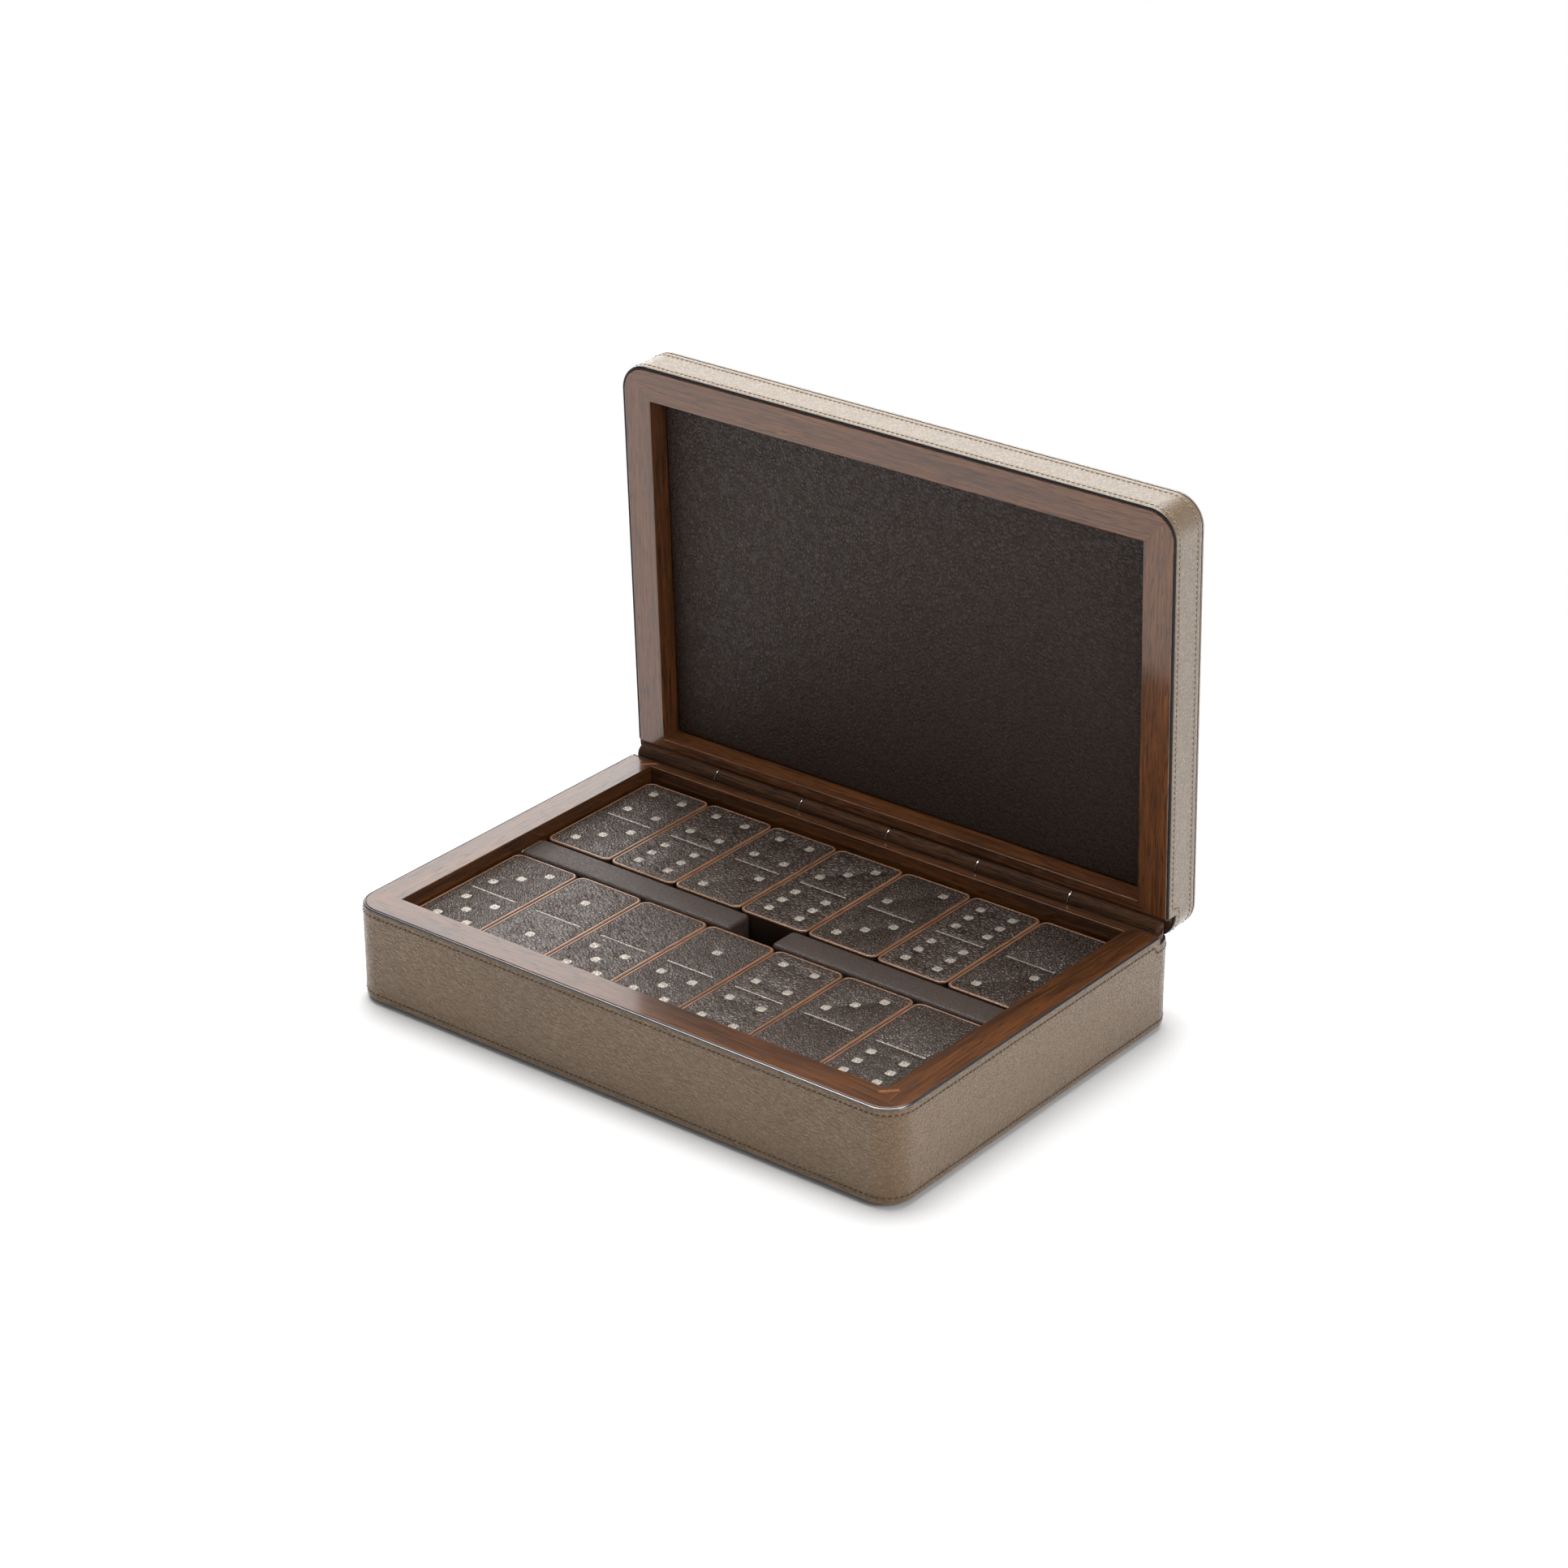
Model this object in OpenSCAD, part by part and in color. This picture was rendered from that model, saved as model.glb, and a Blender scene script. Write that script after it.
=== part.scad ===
// Domino storage box: a leather covered walnut case whose lid turns on a full length wooden
// barrel hinge, with 28 dominoes in two layers on either side of a divider.
// The origin is the middle of the face that the case stands on. X runs along the hinge,
// Y from front to back and Z up. The model is drawn with the lid open, as it rests on its stop.

/* [Case] */
// Overall width of the case
box_w = 330; // [329:1:350]
// Overall depth of the closed case
box_d = 227; // [226:0.5:240]
// Plan radius of the four upright corners
corner_r = 15; // [12:0.5:18]
// Height of the base from its leather bottom edge to the parting face
base_h = 49.5; // [47:0.5:56]
// Thickness of the lid
lid_t = 23.6; // [21:0.2:26]
// Thickness of the leather that covers the case
leather_t = 1.4; // [1:0.1:1.8]
// Width of the front and side frame seen from above, with its leather
frame_w = 17.9; // [16:0.1:18.8]
// Width of the rear frame seen from above, with its leather
rear_w = 20.7; // [20:0.1:24]
// Edge radius of the walnut beside the leather
frame_edge = 0.6; // [0.3:0.1:1.5]
// Edge radius of the walnut round the tray and the lid's hollow
inner_edge = 0.5; // [0.2:0.1:1]
// Gap between the closed lid and the base
parting_gap = 0.2; // [0.1:0.05:0.4]

/* [Bottom] */
// Thickness of the panel that the case stands on
foot_t = 2.5; // [1.5:0.5:4]
// How far the standing panel lies inside the case
foot_inset = 5; // [3:1:10]
// Thickness of the bottom board
board_t = 6; // [4:0.5:6]
// How far the boards reach into their rebates in the walls
rebate = 8; // [5:1:10]
// Thickness of the suede lining on the floor of the tray
floor_lining_t = 1.5; // [1:0.5:2]

/* [Lid lining] */
// Depth of the hollow in the lid
lid_hollow = 11.4; // [10:0.2:12]
// Thickness of the leather on the lid lining
lining_t = 1.4; // [1:0.1:2]
// Radius at which that leather turns over the board's edges
lining_edge = 1.2; // [0.6:0.1:1.4]

/* [Hinge] */
// How far the lid opens before its bevel meets that of the base, in degrees
open_angle = 87.8; // [80:0.1:90]
// Distance from the back face to the hinge axis
hinge_inset = 9.2; // [8.4:0.1:9.3]
// Radius of the barrel
barrel_r = 5.2; // [4.8:0.1:5.4]
// Number of knuckles, half on the base and half on the lid
knuckles = 6; // [4:2:10]
// Room between a knuckle and the cove that it turns in
cove_gap = 0.3; // [0.3:0.05:0.5]
// Room at each end of a knuckle
knuckle_gap = 0.45; // [0.4:0.05:0.6]
// Edge radius at the ends of a knuckle
knuckle_edge = 0.4; // [0.2:0.1:0.8]
// Edge radius at both ends of the whole barrel
barrel_end = 2; // [0.5:0.5:3]
// Radius of the hinge pin
pin_r = 1.5; // [1:0.1:2]
// Running clearance of the pin in the lid's knuckles
pin_clearance = 0.05; // [0.02:0.01:0.08]
// Thickness of the washers between knuckles
washer_t = 0.5; // [0.3:0.1:0.6]

/* [Dominoes] */
// Width of a domino
tile_w = 41; // [38:0.1:41]
// Length of a domino
tile_l = 82; // [78:0.5:82]
// Thickness of a domino
tile_t = 15.4; // [14:0.2:15.4]
// Plan radius of a domino's corners
tile_r = 4.6; // [3:0.1:6]
// Radius of the eased edges of a domino
tile_edge = 0.8; // [0.4:0.1:1]
// Width of the walnut rim round the leather face
rim = 1.5; // [1.2:0.1:2.5]
// Side of a stamped spot
spot = 4.6; // [3.5:0.1:5]
// Depth of the stamped spots and line
stamp = 0.25; // [0.15:0.05:0.4]
// How far the top of the upper layer lies under the parting face
tile_drop = 7.6; // [7:0.1:9]

/* [Divider] */
// Width of the leather covered divider bars
bar_w = 17.8; // [14:0.1:17.8]
// Width of the finger gap between the two bars
finger_gap = 26; // [20:1:40]
// Thickness of the leather on the bars
bar_skin = 1; // [0.8:0.1:1.5]
// Edge radius of the bars
bar_edge = 2; // [1.2:0.1:3]

/* [Hidden] */
$fn = 96;

// Pairs of spots, back half first, as they lie from left to right in the upper layer
upper_back = [[4, 3], [4, 6], [4, 2], [3, 6], [2, 3], [6, 6], [0, 2]];
upper_front = [[3, 5], [1, 1], [0, 5], [1, 5], [4, 4], [3, 0], [0, 6]];
// The other pairs of the double six set, in the lower layer
lower_back = [[0, 0], [0, 1], [0, 4], [1, 2], [1, 3], [1, 4], [1, 6]];
lower_front = [[2, 2], [2, 5], [2, 6], [3, 3], [4, 5], [5, 5], [5, 6]];
columns = 7;
column_gap = 0.5;
// Small overlap between touching pieces of one outline, and how far a cut runs past a face
weld = 0.01;
past = 1;

function tile_name(pair) = str("domino_", pair[0], "_", pair[1]);

// Each place holds its pair, its column, its row (0 front, 1 back) and its layer (0 lower, 1 upper)
PLACES = concat(
    [for (i = [0:columns - 1]) [upper_back[i], i, 1, 1]],
    [for (i = [0:columns - 1]) [upper_front[i], i, 0, 1]],
    [for (i = [0:columns - 1]) [lower_back[i], i, 1, 0]],
    [for (i = [0:columns - 1]) [lower_front[i], i, 0, 0]]
);

CASE_NODES = [
    "base_leather", "base_front_wall", "base_back_wall", "base_left_wall", "base_right_wall",
    "base_mitre_keys", "bottom_board", "standing_panel", "floor_board", "floor_lining",
    "divider_core_left", "divider_core_right", "divider_leather_left", "divider_leather_right",
    "base_hinge_strip", "hinge_pin", "hinge_pin_plug", "hinge_washers",
    "lid_leather", "lid_top_leather", "lid_top_board", "lid_front_rail", "lid_back_rail",
    "lid_left_rail", "lid_right_rail", "lid_lining_board",
    "lid_lining_leather", "lid_hinge_strip"
];

// Outline of the walnut inside the leather
wood_w = box_w - 2 * leather_t;
wood_d = box_d - 2 * leather_t;
wood_r = corner_r - leather_t;
// Heights
z_bottom = foot_t;
z_part = z_bottom + base_h;
z_lid = z_part + parting_gap;
z_top = z_lid + lid_t;
z_tiles = z_part - tile_drop;
z_floor = z_tiles - 2 * tile_t;
// Tray and lid hollow in plan
in_x = box_w / 2 - frame_w;
in_front = -box_d / 2 + frame_w;
in_back = box_d / 2 - rear_w;
in_mid = (in_front + in_back) / 2;
in_len = in_back - in_front;
// Hinge axis, coves and knuckles
axis_y = box_d / 2 - hinge_inset;
axis_z = z_part + parting_gap / 2;
cove_r = barrel_r + cove_gap;
knuckle_w = box_w / knuckles;
// How far the ends of the barrel stay inside the walnut outline
barrel_back = 1.4;
// How far the hinge strips reach in front of the axis, and how deep they are let in
strip_front = 6.6;
strip_deep = 9.5;
// The pin stops short of both ends; its hole is blind at the left end, with a little room
pin_half = box_w / 2 - corner_r;
pin_end_room = 0.5;
// Half the angle between the two bevels, with a little room left at the stop
stop_room = 0.4;
bevel = open_angle / 2 + stop_room;
// Steps cut in the leather beside the hinge, below and above the axis
base_step = 4.3;
lid_step = 6.4;
// How far the leather edge stays back from the parting faces
leather_back = 0.35;
// Length, thickness and depth of the mitre keys, how far out along the mitre they lie and how far
// beside it, towards the side walls
key_len = 9.4;
key_t = 2.2;
key_deep = 7;
key_out = 3;
key_beside = 0.7;
// The lining of the lid: leather turned over the edges of a thin board
lining_gap = 0.3;
lining_z = z_lid + lid_hollow;
lining_h = z_top - leather_t - board_t - lining_z;
// Eased edges of the lid's top leather and of the standing panel
top_edge = 0.5;
foot_edge = 0.6;
// Rows of dominoes, which lie a little to the left, and the divider a little behind the middle
front_gap = 1.4;
back_gap = 0.6;
bar_shift = 0.5;
bar_y = in_mid + bar_shift;
tile_pitch = tile_w + column_gap;
tiles_x = -1.1;
row_y = [in_front + front_gap + tile_l / 2, bar_y + bar_w / 2 + back_gap + tile_l / 2];
// Spots and line on a domino
spot_x = 9.4;
spot_y = 10.4;
half_y = 20.3;
spot_r = 1.3;
line_len = 28.4;
line_w = 1;
inlay_t = 1.2;
// Glue line round and under the leather face
glue = 0.05;

walnut = [0.40, 0.24, 0.15];
light_wood = [0.72, 0.47, 0.27];
taupe = [0.55, 0.49, 0.42];
dark_leather = [0.23, 0.20, 0.18];
suede = [0.20, 0.17, 0.15];
steel = [0.75, 0.74, 0.72];
board = [0.66, 0.55, 0.42];

// Rectangle with round corners
module rounded_rect(w, d, r) {
    square([w - 2 * r, d], center = true);
    square([w, d - 2 * r], center = true);
    for (sx = [-1, 1], sy = [-1, 1])
        translate([sx * (w / 2 - r), sy * (d / 2 - r)])
            circle(r);
}

// Upright section of a block whose lower and upper edges are eased
module eased_section(w, h, low, high) {
    translate([-w / 2, low])
        square([w, h - low - high]);
    if (low > 0) {
        translate([-w / 2 + low, 0])
            square([w - 2 * low, low + weld]);
        for (s = [-1, 1])
            translate([s * (w / 2 - low), low])
                circle(low);
    }
    if (high > 0) {
        translate([-w / 2 + high, h - high - weld])
            square([w - 2 * high, high + weld]);
        for (s = [-1, 1])
            translate([s * (w / 2 - high), h - high])
                circle(high);
    }
}

// Round bar on Z whose two ends are eased
module round_bar(r, h, low, high) {
    rotate_extrude()
        intersection() {
            eased_section(2 * r, h, low, high);
            square([r, h]);
        }
}

// Block with round upright corners and eased edges
module eased_block(w, d, h, r, low, high) {
    rotate([90, 0, 0])
        linear_extrude(d - 2 * r, center = true)
            eased_section(w, h, low, high);
    rotate([90, 0, 90])
        linear_extrude(w - 2 * r, center = true)
            eased_section(d, h, low, high);
    for (sx = [-1, 1], sy = [-1, 1])
        translate([sx * (w / 2 - r), sy * (d / 2 - r), 0])
            round_bar(r, h, low, high);
}

// A YZ outline, taken from the hinge axis, drawn out along the whole width
module along_hinge(points, w = box_w + 2 * past) {
    translate([0, axis_y, axis_z])
        rotate([90, 0, 90])
            linear_extrude(w, center = true)
                polygon(points);
}

// Turns what is drawn closed to where the open lid stands
module as_open() {
    translate([0, axis_y, axis_z])
        rotate([-open_angle, 0, 0])
            translate([0, -axis_y, -axis_z])
                children();
}

// Plan outline of one side of the frame, cut at the mitres
module mitre_plan(side) {
    ox = box_w / 2;
    oy = box_d / 2;
    if (side == "front") polygon([[-in_x, in_front], [in_x, in_front], [ox, -oy], [-ox, -oy]]);
    if (side == "back") polygon([[-in_x, in_back], [in_x, in_back], [ox, oy], [-ox, oy]]);
    if (side == "left") polygon([[-in_x, in_front], [-in_x, in_back], [-ox, oy], [-ox, -oy]]);
    if (side == "right") polygon([[in_x, in_front], [in_x, in_back], [ox, oy], [ox, -oy]]);
}

// The keys that lock two of the base's mitres, front right and back left, let in from above
module key_blocks() {
    for (s = [-1, 1]) {
        corner_y = s > 0 ? in_front : in_back;
        translate([s * (in_x + key_out / sqrt(2)), corner_y - s * key_out / sqrt(2), z_part - key_deep])
            rotate([0, 0, 45])
                translate([s * key_beside - key_len / 2, -key_t / 2, 0])
                    cube([key_len, key_t, key_deep]);
    }
}

// The bed that both hinge strips are let into, seen from the side
module strip_bed(up) {
    s = up ? 1 : -1;
    along_hinge([[-strip_front, 0], [hinge_inset + past, 0],
        [hinge_inset + past, s * strip_deep], [-strip_front, s * strip_deep]]);
}

// Tray-shaped hollow between the walls
module hollow(z0, z1) {
    translate([-in_x, in_front, z0])
        cube([2 * in_x, in_len, z1 - z0]);
}

// Room for a board let in round the hollow
module board_room(z0, z1) {
    translate([-in_x - rebate, in_front - rebate, z0])
        cube([2 * (in_x + rebate), in_len + 2 * rebate, z1 - z0]);
}

// What easing takes off the edge between a wall and the hollow, at the parting face at height z.
// Up is 1 for the rails of the lid, whose wood lies above that face, and -1 for the base.
module inner_easing(side, z, up) {
    along_x = side == "front" || side == "back";
    far = side == "front" ? in_front : side == "back" ? in_back : side == "left" ? -in_x : in_x;
    out = side == "front" || side == "left" ? -1 : 1;
    long = 2 * (in_x + inner_edge);
    translate(along_x ? [0, far, z] : [far, in_mid, z])
        rotate(along_x ? [90, 0, 90] : [90, 0, 0])
            linear_extrude(long, center = true)
                mirror([out < 0 ? 1 : 0, 0])
                    mirror([0, up < 0 ? 1 : 0])
                        difference() {
                            translate([-weld, -weld])
                                square(inner_edge + weld);
                            translate([inner_edge, inner_edge])
                                circle(inner_edge);
                        }
}

module base_wall(side) {
    color(walnut)
    difference() {
        intersection() {
            translate([0, 0, z_bottom])
                eased_block(wood_w, wood_d, base_h, wood_r, 0, frame_edge);
            translate([0, 0, z_bottom])
                linear_extrude(base_h + past)
                    mitre_plan(side);
        }
        board_room(z_bottom - past, z_bottom + board_t);
        key_blocks();
        strip_bed(false);
        inner_easing(side, z_part, -1);
    }
}

module lid_rail(side) {
    as_open()
    color(walnut)
    difference() {
        intersection() {
            translate([0, 0, z_lid])
                eased_block(wood_w, wood_d, lid_t - leather_t, wood_r, frame_edge, 0);
            translate([0, 0, z_lid - past])
                linear_extrude(lid_t + past)
                    mitre_plan(side);
        }
        board_room(z_top - leather_t - board_t, z_top);
        strip_bed(true);
        inner_easing(side, z_lid, 1);
    }
}

// The back left key is cut off where the hinge strip is let in
module base_mitre_keys() {
    color(light_wood)
    difference() {
        key_blocks();
        strip_bed(false);
    }
}

// Leather band round the case, from z0 to z1
module band(z0, z1) {
    translate([0, 0, z0])
        linear_extrude(z1 - z0)
            difference() {
                rounded_rect(box_w, box_d, corner_r);
                rounded_rect(wood_w, wood_d, wood_r);
            }
}

// What the hinge takes out of the leather: a step beside the strip and the bevel behind it
module leather_step(deep, s) {
    far = hinge_inset + past;
    along_hinge([[-strip_front, -s * 2 * past], [-strip_front, s * deep],
        [deep / tan(bevel), s * deep], [far, s * far * tan(bevel)], [far, -s * 2 * past]]);
}

module base_leather() {
    color(taupe)
    difference() {
        band(z_bottom, z_part - leather_back);
        leather_step(base_step, -1);
    }
}

module lid_leather() {
    as_open()
    color(taupe)
    difference() {
        band(z_lid + leather_back, z_top - leather_t);
        leather_step(lid_step, 1);
    }
}

module lid_top_leather() {
    as_open()
    color(taupe)
    translate([0, 0, z_top - leather_t])
        eased_block(box_w, box_d, leather_t, corner_r, 0, top_edge);
}

module bottom_board() {
    color(board)
    board_room(z_bottom, z_bottom + board_t);
}

module lid_top_board() {
    as_open()
    color(board)
    board_room(z_top - leather_t - board_t, z_top - leather_t);
}

// The suede covered panel under the case
module standing_panel() {
    color(suede)
    eased_block(box_w - 2 * foot_inset, box_d - 2 * foot_inset, foot_t, corner_r - foot_inset, foot_edge, 0);
}

module floor_board() {
    color(board)
    hollow(z_bottom + board_t, z_floor - floor_lining_t);
}

module floor_lining() {
    color(suede)
    hollow(z_floor - floor_lining_t, z_floor);
}

// Block of the lid's lining, inset from the rails round the hollow
module lining_block(inset, z0, z1) {
    translate([-in_x + inset, in_front + inset, z0])
        cube([2 * (in_x - inset), in_len - 2 * inset, z1 - z0]);
}

module lid_lining_leather() {
    as_open()
    color(dark_leather)
    difference() {
        translate([0, in_mid, lining_z])
            eased_block(2 * (in_x - lining_gap), in_len - 2 * lining_gap, lining_h,
                2 * lining_edge, lining_edge, 0);
        lining_block(lining_gap + lining_t, lining_z + lining_t, z_top);
    }
}

module lid_lining_board() {
    as_open()
    color(board)
    lining_block(lining_gap + lining_t, lining_z + lining_t, lining_z + lining_h);
}

// One divider bar, with eased top edges and an eased end at the finger gap. It is made twice as
// long and cut at the wall. Off is how much is taken off its faces.
module bar_shape(sx, off) {
    long = in_x - finger_gap / 2;
    h = z_tiles - z_floor - off;
    edge = bar_edge - off;
    intersection() {
        translate([sx * in_x, bar_y, z_floor])
            rotate([90, 0, 90])
                linear_extrude(2 * (long - off), center = true)
                    eased_section(bar_w - 2 * off, h, 0, edge);
        translate([sx * in_x, bar_y, z_floor])
            rotate([90, 0, 0])
                linear_extrude(bar_w, center = true)
                    eased_section(2 * (long - off), h, 0, edge);
        translate([sx * in_x, bar_y, z_floor])
            linear_extrude(h)
                rounded_rect(2 * (long - off), bar_w - 2 * off, edge);
        hollow(z_floor, z_part);
    }
}

module divider_core(sx) {
    color(board)
    bar_shape(sx, bar_skin);
}

module divider_leather(sx) {
    color(dark_leather)
    difference() {
        bar_shape(sx, 0);
        bar_shape(sx, bar_skin);
    }
}

// Knuckle i of the barrel, from end to end
function knuckle_x(i) = -box_w / 2 + i * knuckle_w;

// The coves in which the knuckles of the other half turn, every second one from first on
module coves(first) {
    for (i = [first:2:knuckles - 1])
        translate([knuckle_x(i) - knuckle_gap, axis_y, axis_z])
            rotate([0, 90, 0])
                cylinder(r = cove_r, h = knuckle_w + 2 * knuckle_gap);
}

// The knuckles of one half, every second one from first on
module barrel(first) {
    barrel_half = wood_w / 2 - barrel_back;
    for (i = [first:2:knuckles - 1]) {
        x0 = i == 0 ? -barrel_half : knuckle_x(i) + knuckle_gap;
        x1 = i == knuckles - 1 ? barrel_half : knuckle_x(i + 1) - knuckle_gap;
        translate([x0, axis_y, axis_z])
            rotate([0, 90, 0])
                round_bar(barrel_r, x1 - x0, i == 0 ? barrel_end : knuckle_edge,
                    i == knuckles - 1 ? barrel_end : knuckle_edge);
    }
}

module pin_hole(r) {
    translate([-pin_half - pin_end_room, axis_y, axis_z])
        rotate([0, 90, 0])
            cylinder(r = r, h = pin_half + pin_end_room + box_w / 2 + past);
}

// The walnut outline drawn upright, which trims the strips and end knuckles to the corners
module wood_column() {
    translate([0, 0, z_bottom])
        linear_extrude(z_top)
            rounded_rect(wood_w, wood_d, wood_r);
}

// A hinge strip: its bevelled back, coves for the other half's knuckles, and its own knuckles
module hinge_strip(s, own, other, hole_r) {
    face = parting_gap / 2;
    intersection() {
        difference() {
            union() {
                difference() {
                    along_hinge([[-strip_front, s * face], [face / tan(bevel), s * face],
                        [hinge_inset, s * hinge_inset * tan(bevel)],
                        [hinge_inset, s * strip_deep], [-strip_front, s * strip_deep]]);
                    coves(other);
                }
                barrel(own);
            }
            pin_hole(hole_r);
        }
        wood_column();
    }
}

module base_hinge_strip() {
    color(walnut)
    hinge_strip(-1, 1, 0, pin_r);
}

module lid_hinge_strip() {
    as_open()
    color(walnut)
    hinge_strip(1, 0, 1, pin_r + pin_clearance);
}

module hinge_pin() {
    color(steel)
    translate([-pin_half, axis_y, axis_z])
        rotate([0, 90, 0])
            cylinder(r = pin_r, h = 2 * pin_half);
}

// Walnut plug behind which the pin is hidden at the right end
module hinge_pin_plug() {
    color(walnut)
    intersection() {
        translate([pin_half, axis_y, axis_z])
            rotate([0, 90, 0])
                cylinder(r = pin_r, h = corner_r);
        wood_column();
    }
}

module hinge_washers() {
    color(steel)
    for (i = [1:knuckles - 1])
        translate([knuckle_x(i) - washer_t / 2, axis_y, axis_z])
            rotate([0, 90, 0])
                difference() {
                    cylinder(r = barrel_r, h = washer_t);
                    translate([0, 0, -past])
                        cylinder(r = pin_r, h = washer_t + 2 * past);
                }
}

// Where the spots of a half with n spots lie, in steps across and along the half
function spots(n) = concat(
    n % 2 == 1 ? [[0, 0]] : [],
    n >= 2 ? [[-1, -1], [1, 1]] : [],
    n >= 4 ? [[-1, 1], [1, -1]] : [],
    n == 6 ? [[-1, 0], [1, 0]] : []
);

module stamped_half(n, y) {
    for (s = spots(n))
        translate([s[0] * spot_x, y + s[1] * spot_y])
            rounded_rect(spot, spot, spot_r);
}

// A domino at the origin: a walnut body with a leather face let in, stamped with spots and a line
module domino(pair) {
    face_w = tile_w - 2 * rim;
    face_l = tile_l - 2 * rim;
    face_r = tile_r - rim;
    color(walnut)
    difference() {
        eased_block(tile_w, tile_l, tile_t, tile_r, tile_edge, tile_edge);
        translate([0, 0, tile_t - inlay_t - glue])
            linear_extrude(inlay_t + past)
                rounded_rect(face_w + 2 * glue, face_l + 2 * glue, face_r + glue);
    }
    color(dark_leather)
    difference() {
        translate([0, 0, tile_t - inlay_t])
            linear_extrude(inlay_t)
                rounded_rect(face_w, face_l, face_r);
        translate([0, 0, tile_t - stamp])
            linear_extrude(stamp + past) {
                stamped_half(pair[0], half_y);
                stamped_half(pair[1], -half_y);
                square([line_len, line_w], center = true);
            }
    }
}

module placed_domino(place) {
    x = tiles_x + (place[1] - (columns - 1) / 2) * tile_pitch;
    translate([x, row_y[place[2]], z_floor + place[3] * tile_t])
        domino(place[0]);
}

base_leather();
base_wall("front");  // base_front_wall
base_wall("back");  // base_back_wall
base_wall("left");  // base_left_wall
base_wall("right");  // base_right_wall
base_mitre_keys();
bottom_board();
standing_panel();
floor_board();
floor_lining();
divider_core(-1);  // divider_core_left
divider_core(1);  // divider_core_right
divider_leather(-1);  // divider_leather_left
divider_leather(1);  // divider_leather_right
base_hinge_strip();
hinge_pin();
hinge_pin_plug();
hinge_washers();
lid_leather();
lid_top_leather();
lid_top_board();
lid_rail("front");  // lid_front_rail
lid_rail("back");  // lid_back_rail
lid_rail("left");  // lid_left_rail
lid_rail("right");  // lid_right_rail
lid_lining_board();
lid_lining_leather();
lid_hinge_strip();
for (place = PLACES)
    placed_domino(place);
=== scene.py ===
# %% [markdown]
# # A leather covered domino box
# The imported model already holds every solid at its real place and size. This lesson dresses it:
# walnut, leather, thread, painted edges and stamped foil. It starts with the frame, because each
# new piece is measured from it and rides on one of its moving bodies.

# %% Load the frame
import math

import bmesh
import bpy
import numpy as np
from mathutils import Matrix, Vector, kdtree
from mathutils.geometry import delaunay_2d_cdt


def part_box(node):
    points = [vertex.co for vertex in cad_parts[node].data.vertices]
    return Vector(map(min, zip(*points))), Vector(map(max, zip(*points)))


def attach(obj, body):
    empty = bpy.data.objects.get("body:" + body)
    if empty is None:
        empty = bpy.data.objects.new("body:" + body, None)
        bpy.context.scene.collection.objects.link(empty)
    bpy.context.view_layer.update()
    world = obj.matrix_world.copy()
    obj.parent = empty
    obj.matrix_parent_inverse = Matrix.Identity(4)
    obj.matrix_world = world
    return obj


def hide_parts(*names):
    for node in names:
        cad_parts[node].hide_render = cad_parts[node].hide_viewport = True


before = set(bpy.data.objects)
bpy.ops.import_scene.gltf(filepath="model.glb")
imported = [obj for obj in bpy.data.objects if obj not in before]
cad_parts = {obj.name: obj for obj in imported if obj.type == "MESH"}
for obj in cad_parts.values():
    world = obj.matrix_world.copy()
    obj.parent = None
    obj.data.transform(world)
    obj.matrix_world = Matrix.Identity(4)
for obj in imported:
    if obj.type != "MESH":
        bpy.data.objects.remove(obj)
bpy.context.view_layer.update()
scene = bpy.context.scene

# %% [markdown]
# ## Camera
# The box was photographed with a long lens from its front right, about 26 degrees up. The camera
# could be placed by eye, but straight edges tell more: the place, turns and lens below come from
# fitting a camera to the rims of base and lid, so that the render and the photograph line up.

# %% Camera
azimuth, elevation, roll = math.radians(38.252), math.radians(25.977), math.radians(-0.108)
back = Vector((
    math.sin(azimuth) * math.cos(elevation),
    -math.cos(azimuth) * math.cos(elevation),
    math.sin(elevation),
))
sideways = Vector((math.cos(azimuth), math.sin(azimuth), 0))
right = sideways * math.cos(roll) + back.cross(sideways) * math.sin(roll)
up = back.cross(right)
camera = bpy.data.objects.new("camera", bpy.data.cameras.new("camera"))
scene.collection.objects.link(camera)
camera.data.sensor_width = 36
camera.data.lens = 93.618
camera.data.clip_start, camera.data.clip_end = 0.05, 50
camera.matrix_world = Matrix((right, up, back)).transposed().to_4x4()
camera.matrix_world.translation = (1.085911, -1.359778, 0.969456)
scene.camera = camera
print("camera at", [round(v, 3) for v in camera.matrix_world.translation])

# %% [markdown]
# ## Nodes
# Materials here are built from many small nodes. A few helpers keep them readable: one places a
# node and fills its sockets, and the others do sums, mixes and ramps. Colours are written as they
# look on a screen, from 0 to 255, and turned into the linear values that shaders use.

# %% Helpers for nodes
def put(tree, kind, inputs=None, **settings):
    made = tree.nodes.new(kind)
    for key, value in settings.items():
        setattr(made, key, value)
    for key, value in (inputs or {}).items():
        if isinstance(value, bpy.types.NodeSocket):
            tree.links.new(value, made.inputs[key])
        else:
            made.inputs[key].default_value = value
    return made


def calc(tree, operation, *values, clamp=False):
    made = put(tree, "ShaderNodeMath", dict(enumerate(values)), operation=operation)
    made.use_clamp = clamp
    return made.outputs[0]


def vector_calc(tree, operation, *values):
    made = put(tree, "ShaderNodeVectorMath", dict(enumerate(values)), operation=operation)
    return made.outputs[0]


def stretch(tree, vector, amount):
    made = put(tree, "ShaderNodeVectorMath", {0: vector, "Scale": amount}, operation="SCALE")
    return made.outputs[0]


def ramp(tree, value, low, high, to_low=0.0, to_high=1.0):
    inputs = {0: value, 1: low, 2: high, 3: to_low, 4: to_high}
    return put(tree, "ShaderNodeMapRange", inputs, interpolation_type="SMOOTHSTEP").outputs[0]


def mix(tree, factor, first, second):
    return put(tree, "ShaderNodeMix", {0: factor, 6: first, 7: second}, data_type="RGBA").outputs[2]


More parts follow.
